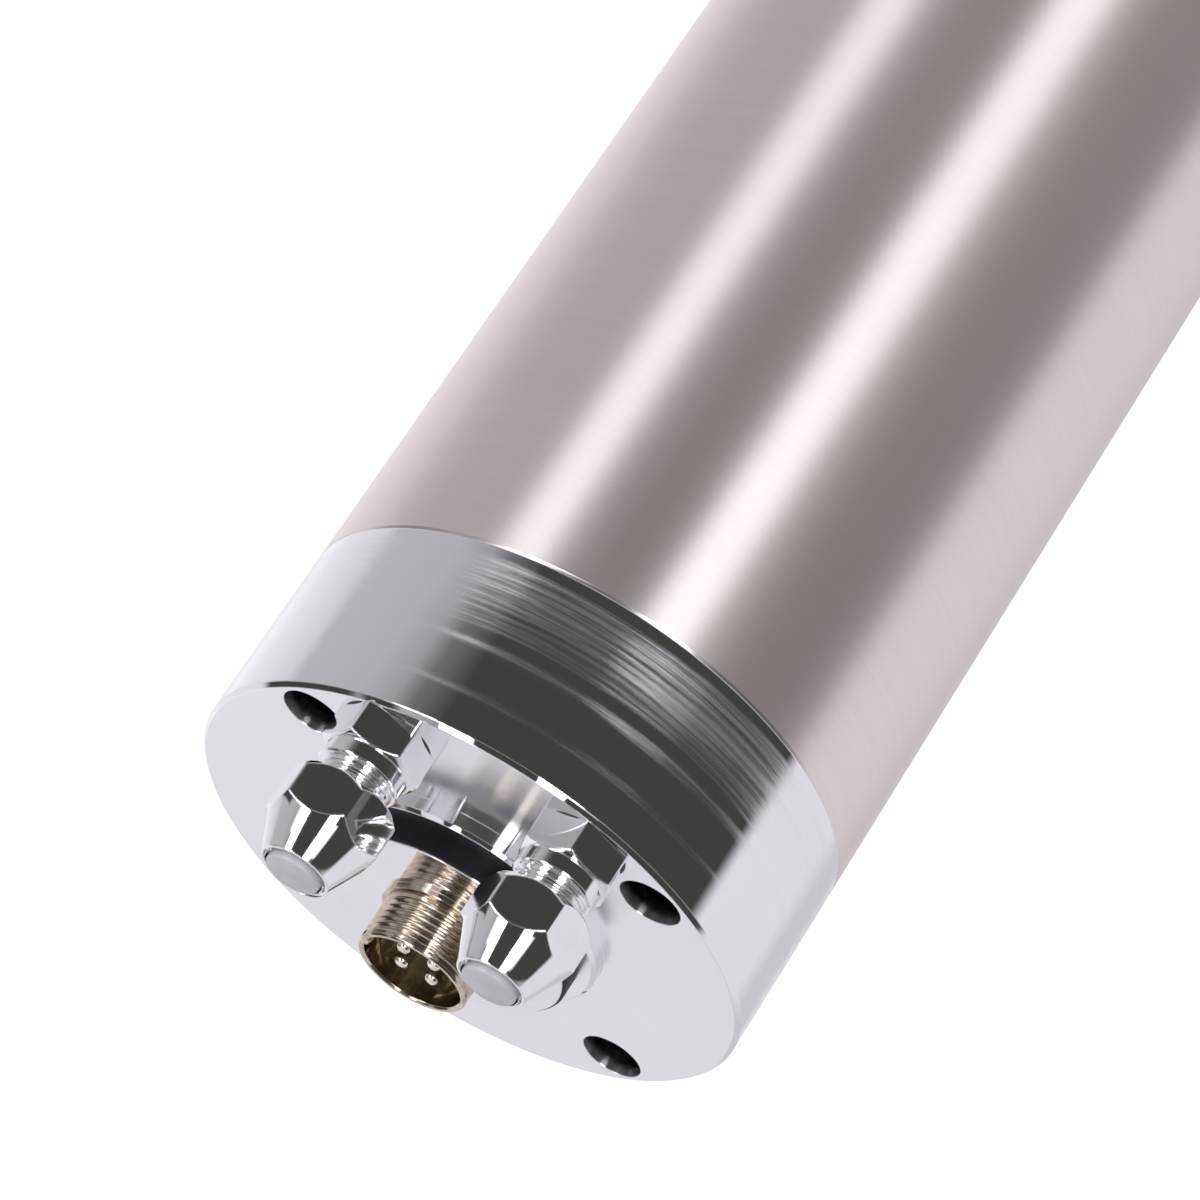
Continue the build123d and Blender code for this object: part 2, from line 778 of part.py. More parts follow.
# Collet nut: hexagon at the back, turned nose, a lip in the collet's groove.
nut_top = nut_face + nut_length
nut_thread = thread_radius + running_gap
nose_slope = tan(radians(collet_nose_angle))
lip_middle = (groove_bottom + taper_start) / 2
lip_bottom = lip_middle - nut_lip_width / 2
lip_top = lip_middle + nut_lip_width / 2
lip_radius = collet_radius - nut_lip_bite
cone_mouth = collet_radius + nut_cone_clearance
relief_radius = collet_radius + nut_relief
with BuildPart() as collet_nut:
    with BuildSketch(Plane.XY.offset(nut_top - nut_hex_length)):
        RegularPolygon(nut_across_flats / 2, 6, major_radius=False)
    extrude(amount=nut_hex_length)
    hex_chamfer(nut_across_flats, nut_top - nut_hex_length, nut_top, (0, 0), True)
    turn([
        (0, nut_face),
        (nut_nose_radius - edge_break, nut_face),
        (nut_nose_radius, nut_face + edge_break),
        (nut_nose_radius, nut_top - nut_hex_length),
        (0, nut_top - nut_hex_length),
    ])
    with BuildSketch(Plane.XZ):
        with BuildLine():
            Polyline(
                (0, nut_face),
                (cone_mouth - (groove_bottom - nut_face) * nose_slope, nut_face),
                (cone_mouth - nut_mouth_gap * nose_slope, groove_bottom - nut_mouth_gap),
                (relief_radius, groove_bottom),
                (relief_radius, lip_bottom),
                (lip_radius, lip_bottom),
                (lip_radius, lip_top),
                (relief_radius, lip_top),
                (relief_radius, shaft_nose_face - nut_thread_run_out),
                (nut_thread, shaft_nose_face - nut_thread_run_out),
                (nut_thread, nut_top),
                (0, nut_top),
                close=True,
            )
        make_face()
    revolve(axis=Axis.Z, mode=Mode.SUBTRACT)
collet_nut.part.label = "collet_nut"
export_step(collet_nut.part, "parts/collet_nut.step")

# ---------------------------------------------------------------- rear end

# Rear bearing housing: flange between jacket and cover, hub for the bearing.
with BuildPart() as rear_bearing_housing:
    turn([
        (rear_hub_shoulder_inner, rear_hub_start),
        (spigot_radius, rear_hub_start),
        (spigot_radius, jacket_top),
        (jacket_outer, jacket_top),
        (jacket_outer, sleeve_top),
        (cavity_radius - slip, sleeve_top),
        (cavity_radius - slip, sleeve_top + register_height),
        (rear_hub_radius, sleeve_top + register_height),
        (rear_hub_radius, rear_hub_end),
        (rear_outer + slip, rear_hub_end),
        (rear_outer + slip, rear_hub_start + rear_hub_shoulder),
        (rear_hub_shoulder_inner, rear_hub_start + rear_hub_shoulder),
    ])
    drill(
        jacket_top, rear_flange_thickness, screw_radius + clearance_hole_extra,
        screw_circle, screw_count, screw_start_angle,
    )
    drill(
        rear_hub_start, rear_hub_length, wire_hole_radius,
        wire_hole_circle, 1, 90,
    )
    for angle in PORTS.values():
        bore_port(jacket_top, rear_flange_thickness, passage_radius, angle)
rear_bearing_housing.part.label = "rear_bearing_housing"
export_step(rear_bearing_housing.part, "parts/rear_bearing_housing.step")

# Two disc springs, back to back, preload the rear bearing.
spring_bottom = rear_hub_start + rear_hub_shoulder
spring_middle = spring_bottom + spring_thickness + spring_cone
spring_inner = rear_outer - rear_ring_wall - spring_edge
with BuildPart() as preload_springs:
    turn([
        (spring_inner, spring_bottom + spring_cone),
        (rear_outer, spring_bottom),
        (rear_outer, spring_bottom + spring_thickness),
        (spring_inner, spring_middle),
    ])
    turn([
        (spring_inner, spring_middle),
        (rear_outer, spring_middle + spring_cone),
        (rear_outer, spring_middle + spring_cone + spring_thickness),
        (spring_inner, spring_middle + spring_thickness),
    ])
preload_springs.part.label = "preload_springs"
export_step(preload_springs.part, "parts/preload_springs.step")

# Rear cover: deep cup over the wiring, boss for the connector, two coolant ports.
thread_bottom = body_top - port_thread_depth
with BuildPart() as rear_cover:
    turn([
        (cavity_radius, sleeve_top),
        (body_radius - seam_break, sleeve_top),
        (body_radius, sleeve_top + seam_break),
        (body_radius, body_top - edge_break),
        (body_radius - edge_break, body_top),
        (boss_radius, body_top),
        (boss_radius, boss_top - boss_chamfer),
        (boss_radius - boss_chamfer, boss_top),
        (connector_rear_radius + slip, boss_top),
        (connector_rear_radius + slip, socket_wall_bottom),
        (socket_recess_radius, socket_wall_bottom),
        (socket_recess_radius, cavity_top),
        (cavity_radius, cavity_top),
    ])
    drill(
        sleeve_top, cover_length, screw_radius + clearance_hole_extra,
        screw_circle, screw_count, screw_start_angle,
    )
    drill(
        body_top - cover_counterbore_depth, cover_counterbore_depth, counterbore_radius,
        screw_circle, screw_count, screw_start_angle,
    )
    for angle in PORTS.values():
        bore_port(sleeve_top, cover_length, passage_radius, angle)
        bore_port(thread_bottom, port_thread_depth, port_thread_radius + thread_clearance, angle)
        bore_port(
            body_top - seal_washer_thickness, seal_washer_thickness,
            seal_washer_radius + slip, angle,
        )
rear_cover.part.label = "rear_cover"
export_step(rear_cover.part, "parts/rear_cover.step")

cover_seat = body_top - cover_counterbore_depth
with BuildPart() as rear_cover_screws:
    socket_screws(
        cover_seat, 1,
        (screw_head_radius, screw_head_height),
        (screw_radius, cover_seat - jacket_top + screw_grip_in_jacket),
        (key_across_flats, key_depth),
        screw_circle, screw_count, screw_start_angle,
    )
rear_cover_screws.part.label = "rear_cover_screws"
export_step(rear_cover_screws.part, "parts/rear_cover_screws.step")

# ---------------------------------------------------------------- coolant ports

with BuildPart() as port_washers:
    for angle in PORTS.values():
        with BuildSketch(Plane.XY.offset(body_top - seal_washer_thickness)):
            with Locations(port_centre(angle)):
                Circle(seal_washer_radius)
                Circle(port_thread_radius + thread_clearance, mode=Mode.SUBTRACT)
        extrude(amount=seal_washer_thickness)
port_washers.part.label = "port_washers"
export_step(port_washers.part, "parts/port_washers.step")

plug_bottom = body_top + fitting_thread_end - fitting_socket_depth + plug_end_gap
ferrule_bottom = body_top + fitting_thread_end - fitting_cone / 2
ferrule_top = ferrule_bottom + ferrule_length
nut_seat = ferrule_top + ferrule_gap
nut_inner = port_thread_radius + running_gap
hose_bore = hose_radius + running_gap
# hexagons as they stand when tightened, degrees about their own axes
HEX_TURN = {"inlet": 55.0, "outlet": 20.0}
NUT_TURN = {"inlet": 20.0, "outlet": 50.0}

for name, angle in PORTS.items():
    centre_x, centre_y = port_centre(angle)
    axis_frame = Plane(origin=(centre_x, centre_y, body_top))
    profile_frame = Plane(origin=(centre_x, centre_y, body_top), z_dir=(0, -1, 0), x_dir=(1, 0, 0))
    port_axis = Axis((centre_x, centre_y, 0), (0, 0, 1))

    # Fitting: stub in the cover, hexagon, neck, hose thread and hose socket.
    with BuildPart() as fitting:
        with BuildSketch(axis_frame):
            RegularPolygon(fitting_across_flats / 2, 6, major_radius=False, rotation=HEX_TURN[name])
        extrude(amount=fitting_hex_height)
        hex_chamfer(
            fitting_across_flats, body_top, body_top + fitting_hex_height,
            (centre_x, centre_y), False,
        )
        with BuildSketch(profile_frame):
            with BuildLine():
                Polyline(
                    (fitting_bore, -port_thread_depth),
                    (port_thread_radius, -port_thread_depth),
                    (port_thread_radius, 0),
                    (fitting_neck_radius, 0),
                    (fitting_neck_radius, fitting_hex_height + fitting_neck_height),
                    (port_thread_radius, fitting_hex_height + fitting_neck_height),
                    (port_thread_radius, fitting_thread_end),
                    (hose_bore + fitting_cone, fitting_thread_end),
                    (hose_bore, fitting_thread_end - fitting_cone),
                    (hose_bore, fitting_thread_end - fitting_socket_depth),
                    (fitting_bore, fitting_thread_end - fitting_socket_depth),
                    close=True,
                )
            make_face()
        revolve(axis=port_axis)
        with BuildSketch(axis_frame):
            Circle(fitting_bore)
        extrude(amount=fitting_hex_height, mode=Mode.SUBTRACT)
    fitting.part.label = f"{name}_fitting"
    export_step(fitting.part, f"parts/{name}_fitting.step")

    # Hose nut: hexagon, then a long tapered nose round the hose.
    with BuildPart() as hose_nut:
        with BuildSketch(axis_frame.offset(hose_nut_start)):
            RegularPolygon(
                hose_nut_across_flats / 2, 6, major_radius=False, rotation=NUT_TURN[name],
            )
        extrude(amount=hose_nut_hex_height)
        hex_chamfer(
            hose_nut_across_flats, body_top + hose_nut_start,
            body_top + hose_nut_start + hose_nut_hex_height, (centre_x, centre_y), True,
        )
        with BuildSketch(profile_frame):
            with BuildLine():
                Polyline(
                    (0, hose_nut_start + hose_nut_hex_height),
                    (hose_nut_cone_radius, hose_nut_start + hose_nut_hex_height),
                    (hose_nut_mouth_radius, hose_nut_end - plug_chamfer),
                    (hose_nut_mouth_radius - plug_chamfer, hose_nut_end),
                    (0, hose_nut_end),
                    close=True,
                )
            make_face()
        revolve(axis=port_axis)
        with BuildSketch(profile_frame):
            with BuildLine():
                Polyline(
                    (0, hose_nut_start),
                    (nut_inner, hose_nut_start),
                    (nut_inner, nut_seat - body_top),
                    (hose_bore, nut_seat - body_top + nut_inner - hose_bore),
                    (hose_bore, hose_nut_end),
                    (0, hose_nut_end),
                    close=True,
                )
            make_face()
        revolve(axis=port_axis, mode=Mode.SUBTRACT)
    hose_nut.part.label = f"{name}_nut"
    export_step(hose_nut.part, f"parts/{name}_nut.step")

    # Transit plug where the hose will go.
    with BuildPart() as plug:
        with BuildSketch(Plane(origin=(centre_x, centre_y, plug_bottom))):
            Circle(hose_radius)
        extrude(amount=plug_length)
        chamfer(plug.edges().filter_by(GeomType.CIRCLE), plug_chamfer)
    plug.part.label = f"{name}_plug"
    export_step(plug.part, f"parts/{name}_plug.step")

    # Ferrule swaged on the plug, between the fitting's cone and the nut's seat.
    with BuildPart() as ferrule:
        with BuildSketch(Plane(origin=(centre_x, centre_y, 0), z_dir=(0, -1, 0), x_dir=(1, 0, 0))):
            with BuildLine():
                Polyline(
                    (hose_radius, ferrule_bottom),
                    (hose_bore + fitting_cone / 4, ferrule_bottom),
                    (ferrule_radius, ferrule_bottom + ferrule_length / 2),
                    (hose_bore + fitting_cone / 4, ferrule_top),
                    (hose_radius, ferrule_top),
                    close=True,
                )
            make_face()
        revolve(axis=port_axis)
    ferrule.part.label = f"{name}_ferrule"
    export_step(ferrule.part, f"parts/{name}_ferrule.step")

# ---------------------------------------------------------------- connector

with BuildPart() as connector_gasket:
    turn([
        (connector_rear_radius + slip, boss_top),
        (gasket_radius, boss_top),
        (gasket_radius, gasket_top),
        (gasket_radius - gasket_rim, gasket_top),
        (gasket_radius - gasket_rim, gasket_top - plate_thickness),
        (connector_rear_radius + slip, gasket_top - plate_thickness),
    ])
connector_gasket.part.label = "connector_gasket"
export_step(connector_gasket.part, "parts/connector_gasket.step")

with BuildPart() as connector_plate:
    with BuildSketch(Plane.XY.offset(gasket_top - plate_thickness)):
        Circle(gasket_radius - gasket_rim - slip)
        Circle(connector_rear_radius + slip, mode=Mode.SUBTRACT)
    extrude(amount=plate_thickness)
    chamfer(connector_plate.faces().sort_by(Axis.Z)[-1].edges(), plate_chamfer)
connector_plate.part.label = "connector_plate"
export_step(connector_plate.part, "parts/connector_plate.step")

# Connector shell: coupling thread outside, one locating key inside the mouth.
shell_bottom = socket_wall_bottom - connector_rear_length + socket_wall
shell_rear_bore = insert_radius + slip
with BuildPart() as connector_shell:
    turn([
        (shell_rear_bore, shell_bottom),
        (connector_rear_radius, shell_bottom),
        (connector_rear_radius, gasket_top),
        (connector_collar_radius, gasket_top),
        (connector_collar_radius, gasket_top + connector_collar_height),
        (connector_radius, gasket_top + connector_collar_height),
        (connector_radius, rim_top - rim_chamfer),
        (connector_radius - rim_chamfer, rim_top),
        (connector_bore + rim_chamfer, rim_top),
        (connector_bore, rim_top - rim_chamfer),
        (connector_bore, insert_face + connector_wall_above_insert),
        (shell_rear_bore, insert_face + connector_wall_above_insert),
    ])
    with BuildSketch(at_angle(key_angle, rim_top - rim_chamfer)):
        with Locations((connector_bore - key_rise / 2, 0)):
            Rectangle(key_rise + 2 * rim_chamfer, key_width)
    extrude(amount=-key_length)
connector_shell.part.label = "connector_shell"
export_step(connector_shell.part, "parts/connector_shell.step")

with BuildPart() as connector_insert:
    with BuildSketch(Plane.XY.offset(insert_face - insert_depth)):
        Circle(insert_radius)
        with GridLocations(pin_spacing, pin_spacing, 2, 2):
            Circle(pin_radius, mode=Mode.SUBTRACT)
    extrude(amount=insert_depth)
connector_insert.part.label = "connector_insert"
export_step(connector_insert.part, "parts/connector_insert.step")

pin_bottom = insert_face - pin_tail
pin_tip = body_top + pin_top
with BuildPart() as connector_pins:
    with BuildSketch(Plane.XY.offset(pin_bottom)):
        with GridLocations(pin_spacing, pin_spacing, 2, 2):
            Circle(pin_radius)
    extrude(amount=pin_tip - pin_bottom)
    chamfer(
        connector_pins.edges().filter_by(GeomType.CIRCLE).group_by(Axis.Z)[-1],
        pin_chamfer,
    )
connector_pins.part.label = "connector_pins"
export_step(connector_pins.part, "parts/connector_pins.step")

with BuildPart() as panel_nut:
    with BuildSketch(Plane.XY.offset(socket_wall_bottom - panel_nut_thickness)):
        RegularPolygon(panel_nut_across_flats / 2, 6, major_radius=False)
        Circle(connector_rear_radius, mode=Mode.SUBTRACT)
    extrude(amount=panel_nut_thickness)
panel_nut.part.label = "panel_nut"
export_step(panel_nut.part, "parts/panel_nut.step")

# Four leads from the pins, out over the bearing hub and down to the windings.
# The two from the +Y pins cross over the two from the -Y pins.
wire_top = pin_bottom
wire_bend = wire_top - wire_drop - wire_layer
wire_entry = sleeve_top + register_height + wire_hub_gap
wire_end = stator_end + end_turn_length
with BuildPart() as lead_wires:
    for side_x in (-1, 1):
        for side_y in (-1, 1):
            start = (side_x * pin_spacing / 2, side_y * pin_spacing / 2)
            finish = (side_x * wire_pitch / 2, wire_hole_circle + side_y * wire_pitch / 2)
            lift = wire_layer if side_y > 0 else 0
            with BuildLine():
                lead = Polyline(
                    (start[0], start[1], wire_top),
                    (start[0], start[1], wire_bend + lift),
                    (finish[0], finish[1], wire_entry + lift),
                    (finish[0], finish[1], wire_end),
                )
            with BuildSketch(Plane(origin=(start[0], start[1], wire_top), z_dir=(0, 0, -1))):
                Circle(wire_radius)
            sweep(path=lead, transition=Transition.RIGHT)
lead_wires.part.label = "lead_wires"
export_step(lead_wires.part, "parts/lead_wires.step")
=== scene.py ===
import json
from math import atan, cos, pi, radians, sin, sqrt, tan, tau

import bmesh
import bpy
from mathutils import Matrix, Vector


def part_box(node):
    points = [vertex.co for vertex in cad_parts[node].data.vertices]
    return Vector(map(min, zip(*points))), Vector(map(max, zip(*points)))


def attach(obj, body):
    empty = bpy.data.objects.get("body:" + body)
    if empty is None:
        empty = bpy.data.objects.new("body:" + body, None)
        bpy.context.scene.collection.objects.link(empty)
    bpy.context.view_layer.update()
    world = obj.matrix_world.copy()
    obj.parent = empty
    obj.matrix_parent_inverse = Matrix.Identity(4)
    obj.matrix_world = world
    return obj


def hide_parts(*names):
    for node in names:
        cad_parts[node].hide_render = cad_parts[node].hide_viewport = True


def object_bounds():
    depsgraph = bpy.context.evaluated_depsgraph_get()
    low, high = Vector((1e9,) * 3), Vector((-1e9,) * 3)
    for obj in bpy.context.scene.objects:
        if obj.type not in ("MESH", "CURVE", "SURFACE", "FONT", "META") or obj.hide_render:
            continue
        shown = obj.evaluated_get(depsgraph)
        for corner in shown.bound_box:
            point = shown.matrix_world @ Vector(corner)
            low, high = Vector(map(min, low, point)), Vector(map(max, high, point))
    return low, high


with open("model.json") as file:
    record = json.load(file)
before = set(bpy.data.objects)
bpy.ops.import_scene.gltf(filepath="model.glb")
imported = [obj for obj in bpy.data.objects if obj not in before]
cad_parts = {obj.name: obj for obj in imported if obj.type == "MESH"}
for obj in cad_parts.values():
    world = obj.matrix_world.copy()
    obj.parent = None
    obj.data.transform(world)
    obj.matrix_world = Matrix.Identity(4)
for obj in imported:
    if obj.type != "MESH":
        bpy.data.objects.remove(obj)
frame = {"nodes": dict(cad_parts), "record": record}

# Motor spindle, seen from its rear end. Metres, in the CAD model's own frame:
# the origin is on the spindle axis at the nose end of the body, +Z runs up to
# the rear cover, and the two coolant fittings stand on the -Y side.

MM = 0.001
cad_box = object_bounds()


def low(node):
    """Lowest corner of a CAD node."""
    return Vector(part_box(node)[0])


def high(node):
    """Highest corner of a CAD node."""
    return Vector(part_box(node)[1])


def middle(node):
    """Middle of a CAD node's box."""
    return (low(node) + high(node)) / 2


BOSS_HEIGHT = 2.4 * MM
face_height = high("rear_cover").z - BOSS_HEIGHT
floor_height = cad_box[0][2]

# ---------------------------------------------------------------- camera

CAMERA_PLACE = (-0.10687, -0.62110, 0.45762)
CAMERA_LOOK = (0.16056, 0.88000, -0.44701)
CAMERA_UP = (0.47870, -0.46548, -0.74443)
LENS_MM = 159.53
SENSOR_MM = 36.0
CLIP_START = 0.01
CLIP_END = 20.0

look = Vector(CAMERA_LOOK).normalized()
across = look.cross(Vector(CAMERA_UP)).normalized()
upward = across.cross(look)
camera = bpy.data.objects.new("camera", bpy.data.cameras.new("camera"))
turned = Matrix((across, upward, -look)).transposed().to_4x4()
camera.matrix_world = Matrix.Translation(CAMERA_PLACE) @ turned
camera.data.sensor_width = SENSOR_MM
camera.data.lens = LENS_MM
camera.data.clip_start = CLIP_START
camera.data.clip_end = CLIP_END
bpy.context.scene.collection.objects.link(camera)
bpy.context.scene.camera = camera


# ---------------------------------------------------------------- node helpers

def node(tree, kind, settings=None, **inputs):
    """Add a shader node. An input is a value, or a socket to link. _ stands for a space."""
    new = tree.nodes.new(kind)
    for name, value in (settings or {}).items():
        setattr(new, name, value)
    for name, value in inputs.items():
        key = int(name[1:]) if name[0] == "i" and name[1:].isdigit() else name.replace("_", " ")
        socket = new.inputs[key]
        if isinstance(value, bpy.types.NodeSocket):
            tree.links.new(value, socket)
        else:
            socket.default_value = value
    return new


def maths(tree, operation, *values):
    """One Math node's result."""
    inputs = {f"i{index}": value for index, value in enumerate(values)}
    return node(tree, "ShaderNodeMath", {"operation": operation}, **inputs).outputs[0]


def ramp(tree, value, start, end, to_start=0.0, to_end=1.0):
    """Smooth step of a value from start to end."""
    return node(
        tree, "ShaderNodeMapRange", {"interpolation_type": "SMOOTHSTEP"},
        Value=value, From_Min=start, From_Max=end, To_Min=to_start, To_Max=to_end,
    ).outputs[0]


def mix(tree, factor, first, second):
    """Blend two colours."""
    blend = node(tree, "ShaderNodeMix", {"data_type": "RGBA"}, i0=factor)
    for socket, value in ((blend.inputs[6], first), (blend.inputs[7], second)):
        if isinstance(value, bpy.types.NodeSocket):
            tree.links.new(value, socket)
        else:
            socket.default_value = (*value, 1.0)
    return blend.outputs[2]


def stretched(tree, scale):
    """Object coordinates scaled by a different number along each axis."""
    place = node(tree, "ShaderNodeTexCoord").outputs["Object"]
    return node(
        tree, "ShaderNodeVectorMath", {"operation": "MULTIPLY"}, i0=place, i1=scale,
    ).outputs[0]


def noise(tree, scale, detail=2.0, roughness=0.5):
    """Noise between about 0 and 1. scale is turns per metre along X, Y and Z."""
    return node(
        tree, "ShaderNodeTexNoise", Vector=stretched(tree, scale),
        Scale=1.0, Detail=detail, Roughness=roughness,
    ).outputs[0]


# ---------------------------------------------------------------- materials

EDGE_SAMPLES = 6
ALONG_AXIS = 0.25             # turns the highlights from round the axis to along it
GRAIN_DETAIL = 3.0
COLOUR_DRIFT = (0.3, 0.7)     # the noise levels at which each drift starts and ends
ROUGHNESS_DRIFT = (0.25, 0.75)


def surface(name, colour, metallic, roughness, spread, tint, grain, bump=0.0, bump_grain=None,
            anisotropic=0.0, coat=0.0, edge=0.0, specular=0.5):
    """Principled material whose colour and roughness drift a little with the grain.

    The colour drifts to tint, and the roughness by spread either way. grain and bump_grain
    are turns per metre along X, Y and Z. edge is the radius that sharp edges are shaded
    with, and bump the height of the fine relief, both in metres.
    """
    material = bpy.data.materials.new(name)
    material.use_nodes = True
    tree = material.node_tree
    shader = tree.nodes["Principled BSDF"]
    shader.inputs["Metallic"].default_value = metallic
    shader.inputs["Anisotropic"].default_value = anisotropic
    shader.inputs["Coat Weight"].default_value = coat
    shader.inputs["Specular IOR Level"].default_value = specular
    drift = noise(tree, grain, GRAIN_DETAIL)
    shade = mix(tree, ramp(tree, drift, *COLOUR_DRIFT), colour, tint)
    tree.links.new(shade, shader.inputs["Base Color"])
    level = ramp(
        tree, drift, *ROUGHNESS_DRIFT, max(roughness - spread, 0.0), roughness + spread,
    )
    tree.links.new(level, shader.inputs["Roughness"])
    if edge:
        rounded = node(tree, "ShaderNodeBevel", {"samples": EDGE_SAMPLES}, Radius=edge).outputs[0]
        tree.links.new(rounded, shader.inputs["Normal"])
    if bump:
        height = noise(tree, bump_grain or grain, GRAIN_DETAIL)
        relief = node(tree, "ShaderNodeBump", Height=height, Strength=1.0, Distance=bump)
        if edge:
            tree.links.new(rounded, relief.inputs["Normal"])
        tree.links.new(relief.outputs[0], shader.inputs["Normal"])
    if anisotropic:
        shader.inputs["Anisotropic Rotation"].default_value = ALONG_AXIS
        tangent = node(tree, "ShaderNodeTangent", {"direction_type": "RADIAL", "axis": "Z"})
        tree.links.new(tangent.outputs[0], shader.inputs["Tangent"])
    return material


RINGS = (30, 30, 5000)          # fine lines round the spindle's axis
MATERIALS = {
    "stainless": surface(
        "brushed_stainless", (0.90, 0.825, 0.785), 1.0, 0.35, 0.015, (0.885, 0.81, 0.77),
        grain=(18, 18, 2600), anisotropic=0.97,
    ),
    "cover_chrome": surface(
        "cover_chrome", (0.90, 0.89, 0.91), 1.0, 0.04, 0.0, (0.89, 0.88, 0.90),
        grain=(60, 60, 60), anisotropic=0.95, edge=0.25 * MM,
    ),
    "fitting_chrome": surface(
        "fitting_chrome", (0.90, 0.89, 0.90), 1.0, 0.05, 0.03, (0.86, 0.85, 0.86),
        grain=(250, 250, 250), bump=0.000006, bump_grain=(500, 500, 500), edge=0.35 * MM,
    ),
    "jacket_aluminium": surface(
        "milled_aluminium", (0.82, 0.83, 0.85), 1.0, 0.32, 0.08, (0.74, 0.75, 0.77),
        grain=(80, 80, 2500),
    ),
    "housing_steel": surface(
        "turned_steel", (0.66, 0.66, 0.67), 1.0, 0.26, 0.06, (0.60, 0.60, 0.61),
        grain=RINGS, anisotropic=0.5,
    ),
    "bearing_steel": surface(
        "ground_steel", (0.78, 0.78, 0.80), 1.0, 0.14, 0.05, (0.72, 0.72, 0.74), grain=RINGS,
    ),
    "ball_row": surface(
        "balls_in_cage", (0.62, 0.56, 0.44), 0.8, 0.25, 0.1, (0.50, 0.44, 0.34),
        grain=(600, 600, 600),
    ),
    "shaft_steel": surface(
        "ground_shaft", (0.70, 0.70, 0.72), 1.0, 0.18, 0.05, (0.64, 0.64, 0.66),
        grain=RINGS, anisotropic=0.4,
    ),
    "collet_steel": surface(
        "hardened_collet", (0.56, 0.56, 0.58), 1.0, 0.22, 0.06, (0.48, 0.48, 0.50), grain=RINGS,
    ),
    "nut_steel": surface(
        "oiled_steel", (0.20, 0.20, 0.215), 1.0, 0.30, 0.08, (0.14, 0.14, 0.15),
        grain=(400, 400, 400), bump=0.00002,
    ),
    "screw_black": surface(
        "black_oxide", (0.045, 0.045, 0.05), 0.6, 0.38, 0.1, (0.03, 0.03, 0.033),
        grain=(700, 700, 700),
    ),
    "seal_rubber": surface(
        "seal_rubber", (0.02, 0.02, 0.02), 0.0, 0.55, 0.1, (0.03, 0.03, 0.03),
        grain=(800, 800, 800), bump=0.00002,
    ),
    "gasket_rubber": surface(
        "gasket_rubber", (0.008, 0.007, 0.010), 0.0, 0.36, 0.06, (0.012, 0.011, 0.015),
        grain=(300, 300, 300), bump=0.00001, bump_grain=(900, 900, 900), specular=0.12,
    ),
    "core_steel": surface(
        "stacked_sheets", (0.30, 0.30, 0.32), 0.9, 0.45, 0.1, (0.16, 0.16, 0.18),
        grain=(20, 20, 6000),
    ),
    "copper": surface(
        "enamelled_copper", (0.72, 0.30, 0.13), 0.9, 0.28, 0.1, (0.52, 0.19, 0.07),
        grain=(900, 900, 200), bump=0.0001, bump_grain=(1600, 1600, 500), coat=0.5,
    ),
    "cage_aluminium": surface(
        "cast_aluminium", (0.78, 0.79, 0.81), 1.0, 0.42, 0.1, (0.68, 0.69, 0.71),
        grain=(500, 500, 500), bump=0.00004,
    ),
    "spring_steel": surface(
        "spring_steel", (0.45, 0.44, 0.46), 1.0, 0.25, 0.08, (0.36, 0.34, 0.36),
        grain=(200, 200, 200),
    ),
    "ferrule_brass": surface(
        "turned_brass", (0.80, 0.60, 0.28), 1.0, 0.22, 0.06, (0.70, 0.50, 0.22), grain=RINGS,
    ),
    "plug_plastic": surface(
        "plug_plastic", (0.50, 0.485, 0.52), 0.0, 0.38, 0.06, (0.46, 0.447, 0.48),
        grain=(300, 300, 300), bump=0.00001, bump_grain=(900, 900, 900),
    ),
    "connector_nickel": surface(
        "warm_nickel", (0.68, 0.60, 0.49), 1.0, 0.11, 0.05, (0.50, 0.42, 0.32),
        grain=(500, 500, 500), edge=0.15 * MM,
    ),
    "plate_mirror": surface(
        "plate_mirror", (0.88, 0.87, 0.89), 1.0, 0.07, 0.03, (0.85, 0.84, 0.86),
        grain=(150, 150, 150), bump=0.000006, bump_grain=(400, 400, 400), edge=0.3 * MM,
    ),
    "insert_plastic": surface(
        "insert_plastic", (0.105, 0.085, 0.040), 0.0, 0.25, 0.06, (0.075, 0.060, 0.028),
        grain=(500, 500, 500),
    ),
    "pin_silver": surface(
        "silvered_pin", (0.90, 0.85, 0.74), 1.0, 0.20, 0.08, (0.80, 0.74, 0.62),
        grain=(900, 900, 900),
    ),
    "wire_insulation": surface(
        "silicone_sleeving", (0.42, 0.035, 0.028), 0.0, 0.45, 0.08, (0.34, 0.028, 0.022),
        grain=(400, 400, 400),
    ),
}


# Bottom and top of each cloudy band in mm, and how cloudy it is.
CLOUD_BANDS = (
    (181.2, 182.3, 0.6), (174.6, 176.1, 0.95), (169.8, 173.0, 0.75), (163.1, 169.8, 1.0),
)
CLOUD_FADE = 0.5                # mm over which a band fades
CLOUD_WANDER = 2.0              # mm that a band's edges wander
CLOUD_ROUGHNESS = 0.19
WANDER_GRAIN = ((40, 40, 400), 4.0, 0.6)
STREAK_GRAIN = ((26, 26, 1500), 5.0, 0.75)
STREAK_RANGE = (0.34, 0.62, 0.40, 1.10)     # noise from and to, cloudiness from and to
SIDE_ROUGHNESS = 0.03
BORED_WALLS = (24.0, 38.9)      # mm from the spindle's axis, for the screw holes' walls
BORED_HEIGHTS = (185.2, 187.6)  # mm between which their roughness rises towards the face
BORED_ROUGHNESS = 0.22
FACE_ROUGHNESS = (0.144, 0.176)
FACE_GRAIN = (120, 120, 120)
FACE_SLOPES = (0.85, 0.97)      # upward part of the normal, from the side to the end face


